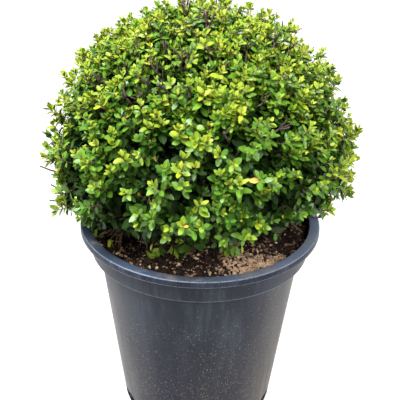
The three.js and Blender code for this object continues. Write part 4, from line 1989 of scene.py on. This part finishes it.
@dataclass
class BareGrowth(Growth):
    """How leafless wood grows: clipped forks in the upper crown, and shoots that stick out at one side."""

    fork_under: Pair = (11.0, 21.0)
    fork_root: Pair = (0.55, 0.8)
    fork_bend: float = 0.55
    fork_sag: float = 4.0
    fork_crook: float = 3.0
    fork_uneven: Pair = (0.8, 1.15)
    fork_wood: Wood = Wood((1.45, 1.15), 5, 6)
    prongs: int = 3
    prong_run: Pair = (0.8, 0.55)
    prong_aside: Pair = (0.3, 0.75)
    prong_length: Pair = (9.0, 19.0)
    prong_crook: float = 2.5
    prong_uneven: Pair = (0.75, 1.2)
    prong_wood: Wood = Wood((1.05, 0.75), 5, 6)
    ends: Sequence[Triple] = (
        (84.6, 177.6, 7.0), (88.4, 179.1, -3.0), (95.4, -176.4, 9.0), (98.2, -174.0, -3.0),
        (101.9, -173.3, 0.0), (102.9, -171.0, -2.0), (104.4, -172.0, 1.0), (106.6, -170.2, 6.0),
    )
    end_root: float = 0.9
    end_bend: float = 0.6
    end_sag: float = 15.0
    end_crook: float = 3.6
    end_kink: float = 0.3
    end_wood: Wood = Wood((1.2, 0.75), 5, 6)

    def forks(self, twigs: Twigs) -> BareWood:
        """Forks of older wood with clipped ends.

        Args:
            twigs: The twigs.

        Returns:
            Their limbs, then their prongs.
        """
        chance, way = self.chance, self.surface.fork_way
        count = len(way)
        crotch = self.crown.out_to(way, -chance.uniform(*self.fork_under, count))
        root = twigs.nearest(way).at(chance.uniform(*self.fork_root, count))
        bend = blend(root, crotch, self.fork_bend) - UP * self.fork_sag
        bend += chance.normal(0, self.fork_crook, root.shape)
        radii = self.fork_wood.taper(count) * chance.uniform(*self.fork_uneven, (count, 1))
        lots = [BareWood(Arc(root, bend, crotch).points(self.fork_wood.steps), radii, way)]
        onward, upward = self.prong_run
        for _ in range(self.prongs):
            side = unit(np.cross(way, chance.normal(0, 1, way.shape)))
            run = unit(way * onward + UP * upward + side * chance.uniform(*self.prong_aside, (count, 1)))
            tip = crotch + run * chance.uniform(*self.prong_length, (count, 1))
            bend = blend(crotch, tip, 0.5) + side * chance.uniform(0, self.prong_crook, (count, 1))
            radii = self.prong_wood.taper(count) * chance.uniform(*self.prong_uneven, (count, 1))
            lots.append(BareWood(Arc(crotch, bend, tip).points(self.prong_wood.steps), radii, way))
        return BareWood.gathered(lots)

    def bare_ends(self, twigs: Twigs) -> BareWood:
        """Crooked shoots that stick out of the clipped outline.

        Args:
            twigs: The twigs.

        Returns:
            The shoots.
        """
        chance, way, wood = self.chance, ways_of(self.ends), self.end_wood
        tip = self.crown.out_to(way, np.array(self.ends)[:, 2])
        root = twigs.nearest(way).at(np.full(len(way), self.end_root))
        bend = blend(root, tip, self.end_bend) - UP * self.end_sag
        bend += chance.normal(0, self.end_crook, root.shape)
        lines = Arc(root, bend, tip).points(wood.steps)
        lines[:, 1:-1] += chance.normal(0, self.end_kink * self.end_crook, lines[:, 1:-1].shape)
        return BareWood(lines, wood.taper(len(way)), way)

    def grow(self, twigs: Twigs) -> BareWood:
        """The forks and the shoots as one lot."""
        return BareWood.gathered((self.forks(twigs), self.bare_ends(twigs)))


# The foliage's pieces


@dataclass
class Foliage:
    """Twigs, shoots and leaves that grow on from the boughs to the clipped outline."""

    crown: Crown
    seed: int = 41
    blade: Blade = field(default_factory=Blade)
    mass_wood: Wood = Wood((3.0, 2.2), 8, 8)
    twig_wood: Wood = Wood((1.8, 0.75), 8, 5)
    shoot_wood: Wood = Wood((0.9, 0.4), 5, 3)
    brown: Bark = Bark("twig_bark", (0.026, 0.017, 0.013), (0.100, 0.070, 0.053), (0.14, 0.115, 0.095))
    green: Bark = Bark("shoot_bark", (0.060, 0.034, 0.019), (0.175, 0.110, 0.064), (0.12, 0.10, 0.035))

    # The old kind's dark colours stand partly for painted shade, and the shade kind's near-black colours are
    # painted shade on the filler leaves inside the crown.
    LOOKS = {
        LeafKind.TIP: ((0.152, 0.234, 0.009), (0.260, 0.304, 0.018), (0.29, 0.36, 0.05), 0.46, 0.3),
        LeafKind.FRESH: ((0.084, 0.182, 0.010), (0.172, 0.266, 0.020), (0.23, 0.33, 0.06), 0.41, 0.31),
        LeafKind.GROWN: ((0.036, 0.118, 0.008), (0.096, 0.204, 0.016), (0.15, 0.24, 0.04), 0.35, 0.28),
        LeafKind.OLD: ((0.014, 0.046, 0.003), (0.042, 0.098, 0.007), (0.06, 0.12, 0.02), 0.38, 0.16),
        LeafKind.SHADE: ((0.004, 0.015, 0.001), (0.014, 0.042, 0.003), (0.02, 0.05, 0.01), 0.6, 0.1),
        LeafKind.TURNED: ((0.46, 0.38, 0.03), (0.40, 0.24, 0.06), (0.4, 0.3, 0.1), 0.5, 0.4),
    }

    def build(self) -> None:
        """Grows the foliage and makes its pieces."""
        chance = np.random.default_rng(self.seed)
        surface = Surface(self.crown, chance)
        twigs = TwigGrowth(surface).grow()
        shoots = Shoots.gathered([rule(surface).grow(twigs) for rule in (ShootGrowth, HangingGrowth)])
        leaves = LeafGrowth(surface).grow(shoots)
        self.build_wood(twigs, BareGrowth(surface), shoots)
        self.build_leaves(leaves, chance)

    def build_wood(self, twigs: Twigs, bare: BareGrowth, shoots: Shoots) -> None:
        """Makes the masses' stems, the twigs and the shoots, each kind as joined pieces by tier.

        Args:
            twigs: The twigs.
            bare: How the leafless wood grows.
            shoots: The leafy shoots.
        """
        crown, brown, green = self.crown, self.brown.make(), self.green.make()
        leafless = bare.grow(twigs)
        leafless_tier = crown.tier_of(leafless.way)
        for index, tier in enumerate(crown.tiers):
            of_tier = crown.mass_tiers() == index
            own = leafless.chosen(leafless_tier == index)
            wood = joined((
                self.mass_wood.along(crown.mass_stems().chosen(of_tier)),
                self.twig_wood.along(twigs.chosen(of_tier[twigs.mass])),
                tubes(own.lines, own.radii, bare.fork_wood.sides),
            ))
            settle(mesh_piece(f"twigs_{tier.name}", *wood), brown, tier.nodes())
            leafy = self.shoot_wood.along(shoots.chosen(shoots.tier == index))
            settle(mesh_piece(f"shoots_{tier.name}", *leafy), green, tier.nodes())

    def build_leaves(self, leaves: Leaves, chance: np.random.Generator) -> None:
        """Makes the leaves, joined by kind and by tier.

        Args:
            leaves: The leaves.
            chance: Source of chance values.
        """
        for kind, look in self.LOOKS.items():
            name = kind.name.lower()
            skin = LeafSkin(f"leaf_{name}", *look).make()
            for index, tier in enumerate(self.crown.tiers):
                own = leaves.chosen((leaves.kind == kind) & (leaves.tier == index))
                if len(own.length):
                    piece = self.blade.piece(f"leaves_{name}_{tier.name}", own, chance)
                    settle(piece, skin, tier.nodes())


# Floor, light and camera


@dataclass(frozen=True)
class Lamp:
    """One large round lamp: where it hangs and how wide it is, in metres, and its power in watts."""

    name: str
    place: Triple
    size: float
    power: float

    def hang(self, aim: np.ndarray) -> None:
        """Hangs the lamp.

        Args:
            aim: The point that it shines on.
        """
        bare_selection()
        bpy.ops.object.light_add(type="AREA", location=self.place)
        lamp = named(self.name)
        lamp.data.shape = "DISK"
        lamp.data.size = self.size
        lamp.data.energy = self.power
        run = aim - np.array(self.place)
        lamp.rotation_euler = (math.acos(-unit(run)[2]), 0, math.atan2(run[1], run[0]) - math.pi / 2)
        lamp.visible_camera = False


@dataclass
class Studio:
    """A plain pale floor, soft light from all round and above, and the photograph's viewpoint."""

    pot: NurseryPot
    distance: float = 1300.0
    elevation: float = math.radians(29.0)
    roll: float = math.radians(1.1)
    focal_pixels: float = 1107.0
    rim_pixel: Pair = (200.5, 218.7)
    frame_pixels: float = 400.0
    sensor: float = 36.0
    far: float = 100.0
    floor_size: float = 40000.0
    sky: Colour = (0.93, 0.97, 1.0)
    sky_strength: float = 0.14
    lit_height: float = 1.3
    lamps: Sequence[Lamp] = (
        Lamp("key_lamp", (-0.6, -0.7, 2.1), 1.0, 115.0),
        Lamp("front_lamp", (0.6, -1.6, 1.66), 0.9, 35.0),
        Lamp("left_lamp", (-1.5, -0.5, 0.8), 0.8, 15.0),
        Lamp("right_lamp", (1.5, -0.4, 0.8), 0.8, 21.0),
        Lamp("back_lamp", (0.2, 1.7, 1.5), 0.8, 26.0),
    )

    def build(self) -> None:
        """Sets the floor, the light and the camera."""
        self.lay_floor()
        self.light()
        self.aim()

    def lay_floor(self) -> None:
        """Lays the floor."""
        bare_selection()
        bpy.ops.mesh.primitive_plane_add(size=self.floor_size * MM, location=(0, 0, 0))
        floor = named("floor")
        floor.data.materials.append(FloorPaint().make())
        floor.visible_diffuse = False

    def light(self) -> None:
        """Soft light from all round, and lamps above, in front, at the sides and behind."""
        scene = bpy.context.scene
        scene.view_settings.view_transform = "Standard"
        scene.world = bpy.data.worlds.new("studio_light")
        scene.world.use_nodes = True
        background = scene.world.node_tree.nodes["Background"]
        background.inputs["Color"].default_value = (*self.sky, 1.0)
        background.inputs["Strength"].default_value = self.sky_strength
        for lamp in self.lamps:
            lamp.hang(UP * self.pot.height * MM * self.lit_height)

    def aim(self) -> None:
        """Places the camera so that the rim's middle falls on its pixel."""
        over, down = (pixel - self.frame_pixels / 2 for pixel in self.rim_pixel)
        bpy.ops.object.camera_add()
        camera = named("camera")
        camera.data.sensor_width = self.sensor
        camera.data.lens = self.focal_pixels / self.frame_pixels * self.sensor
        camera.data.clip_end = self.far
        aside = -over / self.focal_pixels * self.distance
        back = -self.distance * math.cos(self.elevation)
        high = self.pot.height + self.distance * math.sin(self.elevation)
        camera.location = (aside * MM, back * MM, high * MM)
        pitch = self.elevation - math.atan(down / self.focal_pixels)
        tipped = Matrix.Rotation(math.pi / 2 - pitch, 4, "X") @ Matrix.Rotation(self.roll, 4, "Z")
        camera.rotation_euler = tipped.to_euler()
        bpy.context.scene.camera = camera


def main() -> None:
    """Sets the studio, then builds the pot, the compost, the limbs and the foliage, and notes their size."""
    logging.basicConfig(level=logging.INFO, format="%(name)s: %(message)s")
    pot = NurseryPot()
    compost = Compost(pot)
    crown = Crown(pot, compost)
    Studio(pot).build()
    pot.build()
    compost.build()
    Limbs(crown).build()
    Foliage(crown).build()


if __name__ == "__main__":
    main()
